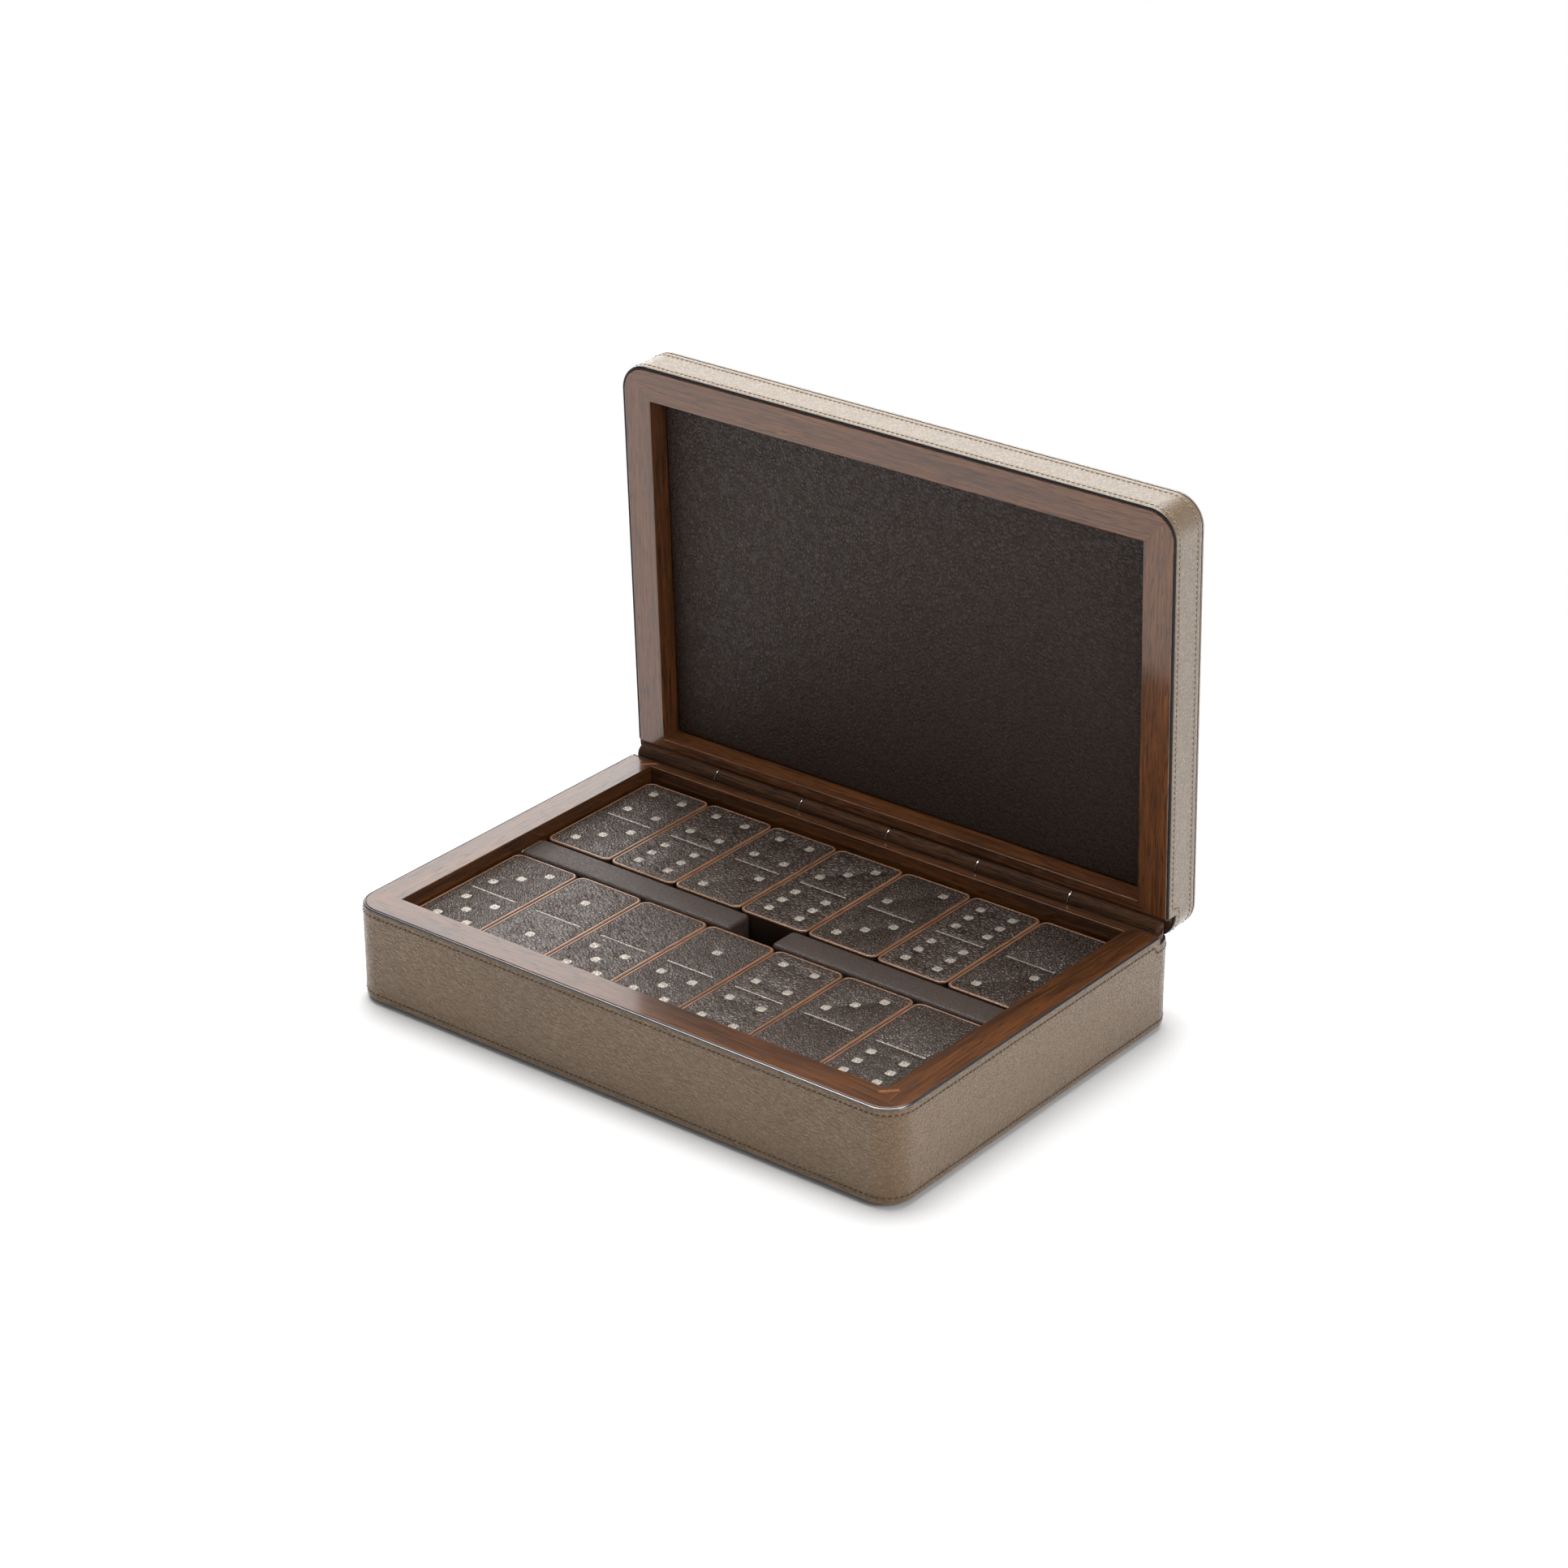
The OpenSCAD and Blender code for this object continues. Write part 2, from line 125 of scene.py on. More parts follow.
def shade(red, green, blue):
    linear = [(c / 255 / 12.92) if c <= 10 else ((c / 255 + 0.055) / 1.055) ** 2.4
              for c in (red, green, blue)]
    return (*linear, 1.0)


# %% Helpers for shared effects
SOCKETS = {"vector": "NodeSocketVector", "colour": "NodeSocketColor", "value": "NodeSocketFloat"}


def effect(name, takes, gives):
    tree = bpy.data.node_groups.new(name, "ShaderNodeTree")
    for label, kind in takes.items():
        tree.interface.new_socket(label, in_out="INPUT", socket_type=SOCKETS[kind])
    for label, kind in gives.items():
        tree.interface.new_socket(label, in_out="OUTPUT", socket_type=SOCKETS[kind])
    enter, leave = tree.nodes.new("NodeGroupInput"), tree.nodes.new("NodeGroupOutput")
    return tree, enter.outputs, leave.inputs


def use(tree, group, inputs):
    made = tree.nodes.new("ShaderNodeGroup")
    made.node_tree = group
    for key, value in inputs.items():
        if isinstance(value, bpy.types.NodeSocket):
            tree.links.new(value, made.inputs[key])
        else:
            made.inputs[key].default_value = value
    return made.outputs


# %% [markdown]
# ## Wood grain
# Walnut has broad bands of tone, dark streaks, fine fibres and short pores, all drawn out along
# the board. A picture of wood could be mapped on, but noise stretched along the grain follows any
# board in any direction and shows end grain where a board is cut. The same group serves the
# frame, the hinge, the keys and the dominoes, each with its own two colours.

# %% Wood grain group
wood_grain, enter, leave = effect(
    "wood_grain",
    {"Vector": "vector", "Pale": "colour", "Dark": "colour", "Figure": "value"},
    {"Color": "colour", "Roughness": "value", "Height": "value"},
)
MIDDLE = (0.5, 0.5, 0.5)
SWAY = (0.0, 0.012, 0.012)
sway = put(wood_grain, "ShaderNodeTexNoise", {
    "Vector": vector_calc(wood_grain, "MULTIPLY", enter["Vector"], (5, 14, 14)),
    "Scale": 1.0, "Detail": 2.0,
})
off_line = vector_calc(wood_grain, "SUBTRACT", sway.outputs["Color"], MIDDLE)
swayed = vector_calc(wood_grain, "ADD", enter["Vector"],
                     vector_calc(wood_grain, "MULTIPLY", off_line, SWAY))


def drawn_out(per_metre, detail):
    """Noise with so many spots to the metre along, across and through the board."""
    made = put(wood_grain, "ShaderNodeTexNoise", {
        "Vector": vector_calc(wood_grain, "MULTIPLY", swayed, per_metre),
        "Scale": 1.0, "Detail": detail, "Roughness": 0.6,
    })
    return made.outputs["Fac"]


bands = drawn_out((7, 70, 70), 5.0)
fibres = drawn_out((22, 900, 900), 4.0)
streaks = ramp(wood_grain, drawn_out((9, 420, 420), 3.0), 0.52, 0.66)
pores = ramp(wood_grain, drawn_out((90, 1900, 1900), 1.0), 0.54, 0.66)

# %% Wood colour, gloss and relief
band_tone = calc(wood_grain, "MULTIPLY", calc(wood_grain, "SUBTRACT", bands, 0.5), enter["Figure"])
fibre_tone = calc(wood_grain, "MULTIPLY", calc(wood_grain, "SUBTRACT", fibres, 0.5), 2.1)
tone = calc(wood_grain, "ADD", calc(wood_grain, "ADD", band_tone, fibre_tone), 0.5, clamp=True)
body_colour = mix(wood_grain, tone, enter["Dark"], enter["Pale"])
darkest = mix(wood_grain, 0.55, enter["Dark"], (0.004, 0.002, 0.001, 1))
marked = calc(wood_grain, "MAXIMUM", calc(wood_grain, "MULTIPLY", streaks, 0.38),
              calc(wood_grain, "MULTIPLY", pores, 0.8))
wood_grain.links.new(mix(wood_grain, marked, body_colour, darkest), leave["Color"])
wood_grain.links.new(
    calc(wood_grain, "ADD", calc(wood_grain, "MULTIPLY", pores, 0.15),
         ramp(wood_grain, fibres, 0.2, 0.8, 0.30, 0.36)), leave["Roughness"])
wood_grain.links.new(
    calc(wood_grain, "SUBTRACT", calc(wood_grain, "MULTIPLY", fibres, 0.35), pores),
    leave["Height"])
print("nodes in the wood grain:", len(wood_grain.nodes))

# %% [markdown]
# ## Leather grain
# Tumbled calf leather shrinks into small folds with creases between them. Cells of a Voronoi
# texture give the folds. Left alone they look like a honeycomb, so noise swirls the space they
# grow in and makes some creases deep and others faint. Longer wrinkles and a finer set of cells
# lie on top. The creases are duller, and painted darker: partly the leather's own darker grain,
# partly painted shade standing for the shadow that falls into them.

# %% Leather grain group
leather_grain, enter, leave = effect(
    "leather_grain",
    {"Vector": "vector", "Size": "value", "Swirl": "value", "Width": "value",
     "Face": "colour", "Crease": "colour"},
    {"Color": "colour", "Roughness": "value", "Height": "value", "Creases": "value"},
)
scaled = stretch(leather_grain, enter["Vector"], enter["Size"])
drift = put(leather_grain, "ShaderNodeTexNoise", {"Vector": scaled, "Scale": 0.5, "Detail": 2.0})
off_place = vector_calc(leather_grain, "SUBTRACT", drift.outputs["Color"], MIDDLE)
swirled = vector_calc(leather_grain, "ADD", scaled,
                      stretch(leather_grain, off_place, enter["Swirl"]))


def folds(scale, width):
    """How high the leather stands between its creases, for cells of the given scale."""
    cells = put(leather_grain, "ShaderNodeTexVoronoi", {"Vector": swirled, "Scale": scale},
                feature="DISTANCE_TO_EDGE")
    return ramp(leather_grain, cells.outputs["Distance"], 0.0, width)


def noise(vector, scale, detail):
    return put(leather_grain, "ShaderNodeTexNoise", {
        "Vector": vector, "Scale": scale, "Detail": detail}).outputs["Fac"]


off_middle = calc(leather_grain, "ABSOLUTE",
                  calc(leather_grain, "SUBTRACT", noise(swirled, 0.7, 1.5), 0.5))
wrinkle = ramp(leather_grain, off_middle, 0.0, 0.05)
how_deep = ramp(leather_grain, noise(scaled, 0.6, 1.0), 0.36, 0.6, 0.45, 1.0)
crease = calc(leather_grain, "SUBTRACT", 1.0, folds(1.0, enter["Width"]))
pebble = calc(leather_grain, "SUBTRACT", 1.0, calc(leather_grain, "MULTIPLY", crease, how_deep))
small = folds(2.1, 0.4)
dust = noise(scaled, 4.0, 2.0)

# %% Leather colour, gloss and relief
slow = put(leather_grain, "ShaderNodeTexNoise", {"Vector": enter["Vector"], "Scale": 22.0})
height = 0.0
for part, share in ((wrinkle, 0.10), (pebble, 0.68), (small, 0.12), (dust, 0.10)):
    height = calc(leather_grain, "MULTIPLY_ADD", part, share, height)
# Creases take the darker Crease colour: partly the leather's own grain, partly painted shade in the
# creases.
crease_shaded_hue = mix(leather_grain, crease, enter["Face"], enter["Crease"])
patchy = ramp(leather_grain, slow.outputs["Fac"], 0.3, 0.7, 0.95, 1.04)
leather_grain.links.new(stretch(leather_grain, crease_shaded_hue, patchy), leave["Color"])
leather_grain.links.new(ramp(leather_grain, height, 0.3, 0.9, 0.60, 0.34), leave["Roughness"])
leather_grain.links.new(height, leave["Height"])
leather_grain.links.new(crease, leave["Creases"])
print("nodes in the leather grain:", len(leather_grain.nodes))

# %% [markdown]
# ## Materials
# Each finish gets a Principled shader. Wood is brown with a thin coat of lacquer that mirrors the
# bright room at low angles. Leather is dull with a little sheen. The shader's fixed numbers are set
# on its own sockets, and only what changes over the surface comes from the groups.

# %% Material makers
def material(name, **fixed):
    made = bpy.data.materials.new(name)
    made.use_nodes = True
    shader = made.node_tree.nodes["Principled BSDF"]
    for key, value in fixed.items():
        shader.inputs[key.replace("_", " ")].default_value = value
    return made, made.node_tree, shader


def grain_space(tree, turn=(0, 0, 0), scale=(1, 1, 1), per_piece=False):
    """Object coordinates, turned so that X runs along the grain. With per_piece, every piece
    is cut from another place of the hide, at another angle, and its grain differs in size."""
    vector = put(tree, "ShaderNodeTexCoord").outputs["Object"]
    vector = put(tree, "ShaderNodeMapping", {"Vector": vector, "Rotation": turn}).outputs[0]
    if per_piece:
        chance = put(tree, "ShaderNodeObjectInfo").outputs["Random"]
        vector = put(tree, "ShaderNodeVectorRotate", {
            "Vector": vector, "Angle": calc(tree, "MULTIPLY_ADD", chance, 1.0, -0.5)},
            rotation_type="Z_AXIS").outputs[0]
    vector = vector_calc(tree, "MULTIPLY", vector, scale)
    if per_piece:
        vector = stretch(tree, vector, calc(tree, "MULTIPLY_ADD", chance, 0.5, 0.8))
        vector = vector_calc(tree, "ADD", vector, stretch(tree, (1.7, 2.9, 4.3), chance))
    return vector


def finish(tree, shader, made, depth, strength=1.0, dullness=1.0):
    """Joins a grain's colour, roughness and relief of the given depth to the shader."""
    tree.links.new(made["Color"], shader.inputs["Base Color"])
    tree.links.new(calc(tree, "MULTIPLY", made["Roughness"], dullness), shader.inputs["Roughness"])
    bump = put(tree, "ShaderNodeBump", {
        "Height": made["Height"], "Distance": depth, "Strength": strength})
    tree.links.new(bump.outputs[0], shader.inputs["Normal"])


def wood(name, turn, pale, dark, figure=1.7, coat=0.75, gloss=0.42, dullness=1.0):
    made, tree, shader = material(
        name, Coat_Weight=coat, Coat_Roughness=0.11, Coat_IOR=1.52, Specular_IOR_Level=gloss,
        Specular_Tint=(1.0, 0.72, 0.60, 1.0))
    grain = use(tree, wood_grain, {
        "Vector": grain_space(tree, turn), "Pale": pale, "Dark": dark, "Figure": figure})
    finish(tree, shader, grain, 0.00004, 0.6, dullness)
    return made


def leather(name, size, swirl, face, crease, depth, turn=(0, 0, 0), scale=(1, 1, 1),
            per_piece=False, width=0.26, dullness=1.0, **extra):
    """Leather with size cells to the metre and relief of the given depth in metres."""
    made, tree, shader = material(name, **extra)
    grain = use(tree, leather_grain, {
        "Vector": grain_space(tree, turn, scale, per_piece),
        "Size": size, "Swirl": swirl, "Width": width, "Face": face, "Crease": crease})
    finish(tree, shader, grain, depth, 1.0, dullness)
    return made


# %% Wood finishes
OPEN = math.radians(87.8)
ALONG_X = (0, 0, 0)
ALONG_Y = (0, 0, -math.pi / 2)
ALONG_LID = (OPEN, 0, -math.pi / 2)
# Base and lid are one walnut in two copies: the lid's tones are paler and the base's darker, a
# difference of painted light tuned to how each part is lit.
base_walnut_darker_copy_tones = shade(103, 60, 27), shade(40, 24, 13)
lid_walnut_paler_copy_tones = shade(128, 77, 41), shade(58, 35, 21)
base_walnut_x = wood("base_walnut_along_x", ALONG_X, *base_walnut_darker_copy_tones)
base_walnut_y = wood("base_walnut_along_y", ALONG_Y, *base_walnut_darker_copy_tones)
lid_walnut_x = wood("lid_walnut_along_x", ALONG_X, *lid_walnut_paler_copy_tones, figure=0.9)
lid_walnut_up = wood("lid_walnut_up_the_lid", ALONG_LID, *lid_walnut_paler_copy_tones, figure=0.9)
hinge_walnut = wood("hinge_walnut", ALONG_X, shade(84, 54, 34), shade(36, 23, 15), coat=0.0,
                    gloss=0.2, dullness=1.7)
key_wood = wood("key_wood", ALONG_X, shade(150, 94, 52), shade(118, 72, 38), figure=1.0)
plywood = wood("plywood", ALONG_X, shade(196, 170, 132), shade(160, 132, 98), coat=0.0)

# %% Leather finishes
taupe = leather(
    "taupe_leather", 780.0, 1.5, shade(109, 82, 45), shade(97, 71, 37), 0.00032,
    turn=(0, -0.4, 0), scale=(0.45, 0.85, 1.0), Sheen_Weight=0.55, Sheen_Roughness=0.35,
    Specular_IOR_Level=0.7)
# The lid's leather is a second copy of the taupe, greyer and with more sheen and coat: its greyer
# colour is a painted highlight, tuned to the bright sheen on the open lid's upturned band. The case
# is one leather, so closed, the lid shows paler than the base.
lit_taupe_copy = leather(
    "lid_taupe_leather", 620.0, 1.2, shade(105, 83, 54), shade(97, 76, 48), 0.00024,
    turn=(0.5, 0, 0), scale=(0.85, 0.75, 1.0), width=0.3, Sheen_Weight=0.85, Sheen_Roughness=0.3,
    Coat_Weight=0.6, Coat_Roughness=0.3, Coat_IOR=1.55, Specular_IOR_Level=0.7)
lining_leather = leather(
    "lining_leather", 620.0, 1.1, shade(57, 43, 36), shade(45, 33, 27), 0.00058,
    turn=(0.2, 0.5, 0.3), scale=(1, 1, 0.7), width=0.3, Specular_IOR_Level=0.35)
bar_leather = leather(
    "bar_leather", 1100.0, 0.9, shade(62, 47, 39), shade(50, 38, 31), 0.00018)
# The domino leather's creases are painted far darker than its folds: partly the leather's grain,
# partly painted shade in the creases.
face_leather = leather(
    "domino_leather", 600.0, 1.1, shade(72, 59, 51), shade(30, 24, 20), 0.0006,
    turn=(0, 0, 0.55), scale=(0.62, 1, 1), per_piece=True, width=0.24, dullness=0.72,
    Specular_IOR_Level=0.7, Specular_Tint=(1.0, 0.88, 0.82, 1.0))
suede = leather(
    "suede", 2400.0, 1.0, shade(48, 42, 38), shade(34, 29, 26), 0.00006, Sheen_Weight=0.4)
edge_paint = leather(
    "edge_paint", 500.0, 0.5, shade(24, 27, 36), shade(17, 19, 27), 0.00002, Coat_Weight=1.0,
    Coat_Roughness=0.1, Coat_IOR=2.0)
dull_paint = leather(
    "dull_edge_paint", 900.0, 0.5, shade(22, 23, 27), shade(14, 15, 19), 0.00004,
    Specular_IOR_Level=0.3)
# Both threads are one tan thread in two copies: the base's is painted dark as shade in the stitch
# grooves, and the lid's is painted pale as light.
thread = leather("thread", 3200.0, 0.6, shade(90, 68, 47), shade(50, 37, 26), 0.00008)
lid_thread = leather("lid_thread", 3200.0, 0.6, shade(184, 166, 142), shade(126, 108, 86), 0.00008)

# %% Foil and steel
foil, tree, shader = material("foil", Metallic=0.45)
creased = use(tree, leather_grain, {
    "Vector": grain_space(tree, turn=(0, 0, 0.55), scale=(0.5, 1, 1), per_piece=True),
    "Size": 1050.0, "Swirl": 1.6, "Width": 0.3, "Face": shade(206, 197, 186),
    "Crease": shade(160, 151, 140)})
worn = ramp(tree, creased["Creases"], 0.5, 0.98, 0.0, 0.45)
tree.links.new(mix(tree, worn, creased["Color"], shade(84, 76, 68)), shader.inputs["Base Color"])
tree.links.new(creased["Roughness"], shader.inputs["Roughness"])
tree.links.new(put(tree, "ShaderNodeBump", {
    "Height": creased["Height"], "Distance": 0.00012}).outputs[0], shader.inputs["Normal"])

steel, tree, shader = material("steel", Metallic=1.0)
brushed = put(tree, "ShaderNodeTexNoise", {
    "Vector": vector_calc(tree, "MULTIPLY", grain_space(tree), (4000, 600, 600)),
    "Scale": 1.0, "Detail": 2.0}).outputs["Fac"]
tree.links.new(mix(tree, brushed, shade(178, 172, 164), shade(226, 222, 214)),
               shader.inputs["Base Color"])
tree.links.new(ramp(tree, brushed, 0.2, 0.8, 0.16, 0.30), shader.inputs["Roughness"])
print("materials:", len(bpy.data.materials))

# %% [markdown]
# ## Dress the carried-over solids
# The walnut walls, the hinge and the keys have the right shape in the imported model, so they only
# get a finish. Each board has its grain along its own length, which is what makes a mitre show.

# %% Finishes for the frame's nodes
FINISHES = {
    base_walnut_x: ["base_front_wall", "base_back_wall"],
    base_walnut_y: ["base_left_wall", "base_right_wall"],
    lid_walnut_x: ["lid_front_rail", "lid_back_rail"],
    lid_walnut_up: ["lid_left_rail", "lid_right_rail"],
    hinge_walnut: ["base_hinge_strip", "lid_hinge_strip", "hinge_pin_plug"],
    key_wood: ["base_mitre_keys"],
    plywood: ["bottom_board", "floor_board", "lid_top_board", "lid_lining_board",
              "divider_core_left", "divider_core_right"],
    suede: ["standing_panel", "floor_lining"],
    steel: ["hinge_pin", "hinge_washers"],
}
for coat, names in FINISHES.items():
    for name in names:
        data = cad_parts[name].data
        data.materials.clear()
        data.materials.append(coat)
        data.shade_smooth()
        data.set_sharp_from_angle(angle=math.radians(28))
print("finished nodes:", sum(len(names) for names in FINISHES.values()))

# %% [markdown]
# ## Pieces
# New pieces are built from rows of points. One helper turns points and faces into a piece that
# rides on its body, and another skins a grid of rows. Arrays keep this quick, because a band of
# leather with real stitch holes has tens of thousands of points.

# %% Making a piece
def make_piece(name, points, faces, coat, body, slot, smooth=35):
    mesh = bpy.data.meshes.new(name)
    mesh.from_pydata([tuple(p) for p in points], [], [tuple(f) for f in faces])
    shape = bmesh.new()
    shape.from_mesh(mesh)
    bmesh.ops.recalc_face_normals(shape, faces=shape.faces)
    shape.to_mesh(mesh)
    shape.free()
    mesh.materials.append(coat)
    mesh.shade_smooth()
    mesh.set_sharp_from_angle(angle=math.radians(smooth))
    piece = bpy.data.objects.new(name, mesh)
    scene.collection.objects.link(piece)
    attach(piece, body)
    return piece


def grid_faces(rows, columns, wrap_rows, start=0):
    """Quads of a grid that closes round its columns, and round its rows too if wrap_rows."""
    r = np.arange(rows if wrap_rows else rows - 1)[:, None]
    c = np.arange(columns)[None, :]
    next_r, next_c = (r + 1) % rows, (c + 1) % columns
    quads = np.stack([r * columns + c, r * columns + next_c,
                      next_r * columns + next_c, next_r * columns + c], -1)
    return (quads.reshape(-1, 4) + start).tolist()


# %% [markdown]
# ## Walking round the case
# Both leather bands, their painted edges and their stitches go round the same outline. It is
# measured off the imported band, and walked by length: it starts at the middle of the front and goes
# round to the right. At each step it gives the place and the direction that faces outwards.

# %% The outline of the case
low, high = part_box("base_leather")
HALF_X, HALF_Y = high.x, high.y
CORNER, THICK = 0.015, 0.0014
SIDE_X, SIDE_Y, ARC = HALF_X - CORNER, HALF_Y - CORNER, math.pi / 2 * CORNER
ROUND = 4 * (SIDE_X + SIDE_Y + ARC)


def walk(s):
    """Places and outward directions at the lengths s along the outline."""
    s = np.mod(np.asarray(s, float), ROUND)
    place, outward = np.zeros((len(s), 2)), np.zeros((len(s), 2))
    start = 0.0
    legs = [(SIDE_X, 0, (0, -HALF_Y)), (2 * SIDE_Y, 90, (HALF_X, -SIDE_Y)),
            (2 * SIDE_X, 180, (SIDE_X, HALF_Y)), (2 * SIDE_Y, 270, (-HALF_X, SIDE_Y)),
            (SIDE_X, 360, (-SIDE_X, -HALF_Y))]
    corners = [(SIDE_X, -SIDE_Y), (SIDE_X, SIDE_Y), (-SIDE_X, SIDE_Y), (-SIDE_X, -SIDE_Y)]
    for leg, (length, turn, origin) in enumerate(legs):
        on = (s >= start - 1e-12) & (s < start + length + 1e-12)
        heading = math.radians(turn)
        along = (s[on] - start)[:, None]
        place[on] = origin + along * (math.cos(heading), math.sin(heading))
        outward[on] = (math.sin(heading), -math.cos(heading))
        start += length
        if leg < 4:
            on = (s >= start) & (s < start + ARC)
            angle = heading - math.pi / 2 + (s[on] - start) / CORNER
            outward[on] = np.stack([np.cos(angle), np.sin(angle)], 1)
            place[on] = np.array(corners[leg]) + outward[on] * CORNER
            start += ARC
    return place, outward


def on_case(s, proud, z):
    """Points at the lengths s, so far proud of the outline, at the heights z."""
    place, outward = walk(s)
    flat = place + outward * np.broadcast_to(proud, len(s))[:, None]
    return np.column_stack([flat, np.broadcast_to(z, len(s))])


# %% [markdown]
# ## Where the leather ends
# Along the hinge the leather is cut back: it steps down 6.6 mm in front of the hinge axis, and
# behind the axis it follows the bevel that lets the lid lean back. The edge is a path of length
# and height, the same on both sides, and a stitch row is the same path moved inwards.

# %% Edge paths
AXIS_Y, AXIS_Z = 0.1043, 0.0521
BEVEL = OPEN / 2 + math.radians(0.4)
STEP_BACK = 0.0066
step_s = SIDE_X + ARC + (AXIS_Y - STEP_BACK) + SIDE_Y
arc_s = SIDE_X + ARC + 2 * SIDE_Y


def edge_path(level, step, toward, margin=0.0):
    """Lengths and heights of an edge that runs at level, steps toward the axis side by step, and
    follows the bevel. Toward is -1 for the base and 1 for the lid; margin moves it inwards."""
    after = AXIS_Z + toward * (step + margin)
    turn = step_s - margin
    bends = np.linspace(arc_s, arc_s + ARC, 15)
    place, _ = walk(bends)
    behind = np.maximum(place[:, 1] - AXIS_Y, 0)
    depth = np.maximum(step, behind * math.tan(BEVEL)) + margin
    half_s = np.concatenate([[0, turn, turn + 0.00003], bends, [ROUND / 2]])
    bevel_z = AXIS_Z + toward * depth
    half_z = np.concatenate([[level + toward * margin] * 2, [after], bevel_z, [bevel_z[-1]]])
    return (np.concatenate([half_s, ROUND - half_s[-2::-1]]),
            np.concatenate([half_z, half_z[-2::-1]]))


def resample(path, spacing):
    """The path cut into equal steps of about the given spacing, all the way round."""
    s, z = path
    length = np.concatenate([[0], np.cumsum(np.hypot(np.diff(s), np.diff(z)))])
    count = max(8, round(length[-1] / spacing))
    steps = np.arange(count) * length[-1] / count
    return np.interp(steps, length, s), np.interp(steps, length, z)


def directions(s, z):
    """Unit steps along a closed path of length and height."""
    ds = np.roll(s, -1) - np.roll(s, 1)
    ds = np.mod(ds + ROUND / 2, ROUND) - ROUND / 2
    dz = np.roll(z, -1) - np.roll(z, 1)
    size = np.hypot(ds, dz)
    return ds / size, dz / size


# %% [markdown]
# ## Stitches
# Saddle stitches are short runs of waxed thread that dive into a hole at both ends and lean a
# little. A bump map could fake them, but they catch light and cast shadows, so each one is a small
# six sided tube. All stitches of a row are made at once from three arrays: where the holes are,
# which way is outwards, and which way is across the row.

# %% Stitch maker
STITCH = 0.0029
THREAD_R = 0.00030


def stitch_mesh(holes, outward, across, slant=0.00022):
    """Points and faces of one stitch between each hole and the next."""
    ahead = np.roll(holes, -1, 0)
    out = outward + np.roll(outward, -1, 0)
    out /= np.linalg.norm(out, axis=1, keepdims=True)
    side = across + np.roll(across, -1, 0)
    side /= np.linalg.norm(side, axis=1, keepdims=True)
    stations = [(0.15, -0.00032, 0.55), (0.20, 0.00004, 0.85), (0.35, 0.00018, 1.0),
                (0.65, 0.00018, 1.0), (0.80, 0.00004, 0.85), (0.85, -0.00032, 0.55)]
    rings = []
    for t, lift, fat in stations:
        centre = holes * (1 - t) + ahead * t + out * lift + side * slant * (2 * t - 1)
        for k in range(6):
            angle = k * math.pi / 3
            rings.append(centre + THREAD_R * fat * (
                out * math.sin(angle) * 0.8 + side * math.cos(angle)))
    points = np.stack(rings, 1).reshape(-1, 3)
    faces = []
    size = 6 * len(stations)
    for one in range(len(holes)):
        base = one * size
        for ring in range(len(stations) - 1):
            for k in range(6):
                a, b = base + ring * 6 + k, base + ring * 6 + (k + 1) % 6
                faces.append((a, b, b + 6, a + 6))
        faces.append(tuple(range(base, base + 6)))
        faces.append(tuple(range(base + size - 6, base + size)))
    return points, faces


def row_on_case(path, proud):
    """Holes, outward and across directions of a stitch row on the side of the case."""
    s, z = resample(path, STITCH)
    holes = on_case(s, proud, z)
    _, flat = walk(s)
    outward = np.column_stack([flat, np.zeros(len(s))])
    ds, dz = directions(s, z)
    along = np.column_stack([-flat[:, 1], flat[:, 0], np.zeros(len(s))])
    across = along * -dz[:, None] + np.array([0, 0, 1.0]) * ds[:, None]
    return holes, outward, across


def press_in(points, outward, holes, groove=0.00005, dimple=0.00018):
    """Moves points inwards along the stitch row and more at its holes."""
    dense = np.concatenate([holes * (1 - t) + np.roll(holes, -1, 0) * t
                            for t in (0, 0.25, 0.5, 0.75)])
    line_tree, hole_tree = kdtree.KDTree(len(dense)), kdtree.KDTree(len(holes))
    for index, point in enumerate(dense):
        line_tree.insert(point, index)
    for index, point in enumerate(holes):
        hole_tree.insert(point, index)
    line_tree.balance()
    hole_tree.balance()
    for index, point in enumerate(points):
        off = line_tree.find(point)[2]
        if off < 0.002:
            hole = hole_tree.find(point)[2]
            depth = groove * math.exp(-(off / 0.0007) ** 2) + dimple * math.exp(
                -(hole / 0.00036) ** 2)
            points[index] = point - outward[index] * depth

# %% [markdown]
# ## Leather bands
# The sides of base and lid are one strip of leather each, 1.4 mm thick, wrapped round and cut
# back beside the hinge. The strip is a closed grid: its rows go round the cut, up the face and
# over the edge, and they crowd where the stitches pull it in. Its columns are a quarter of a
# stitch apart, so that each hole can be pressed into the mesh.

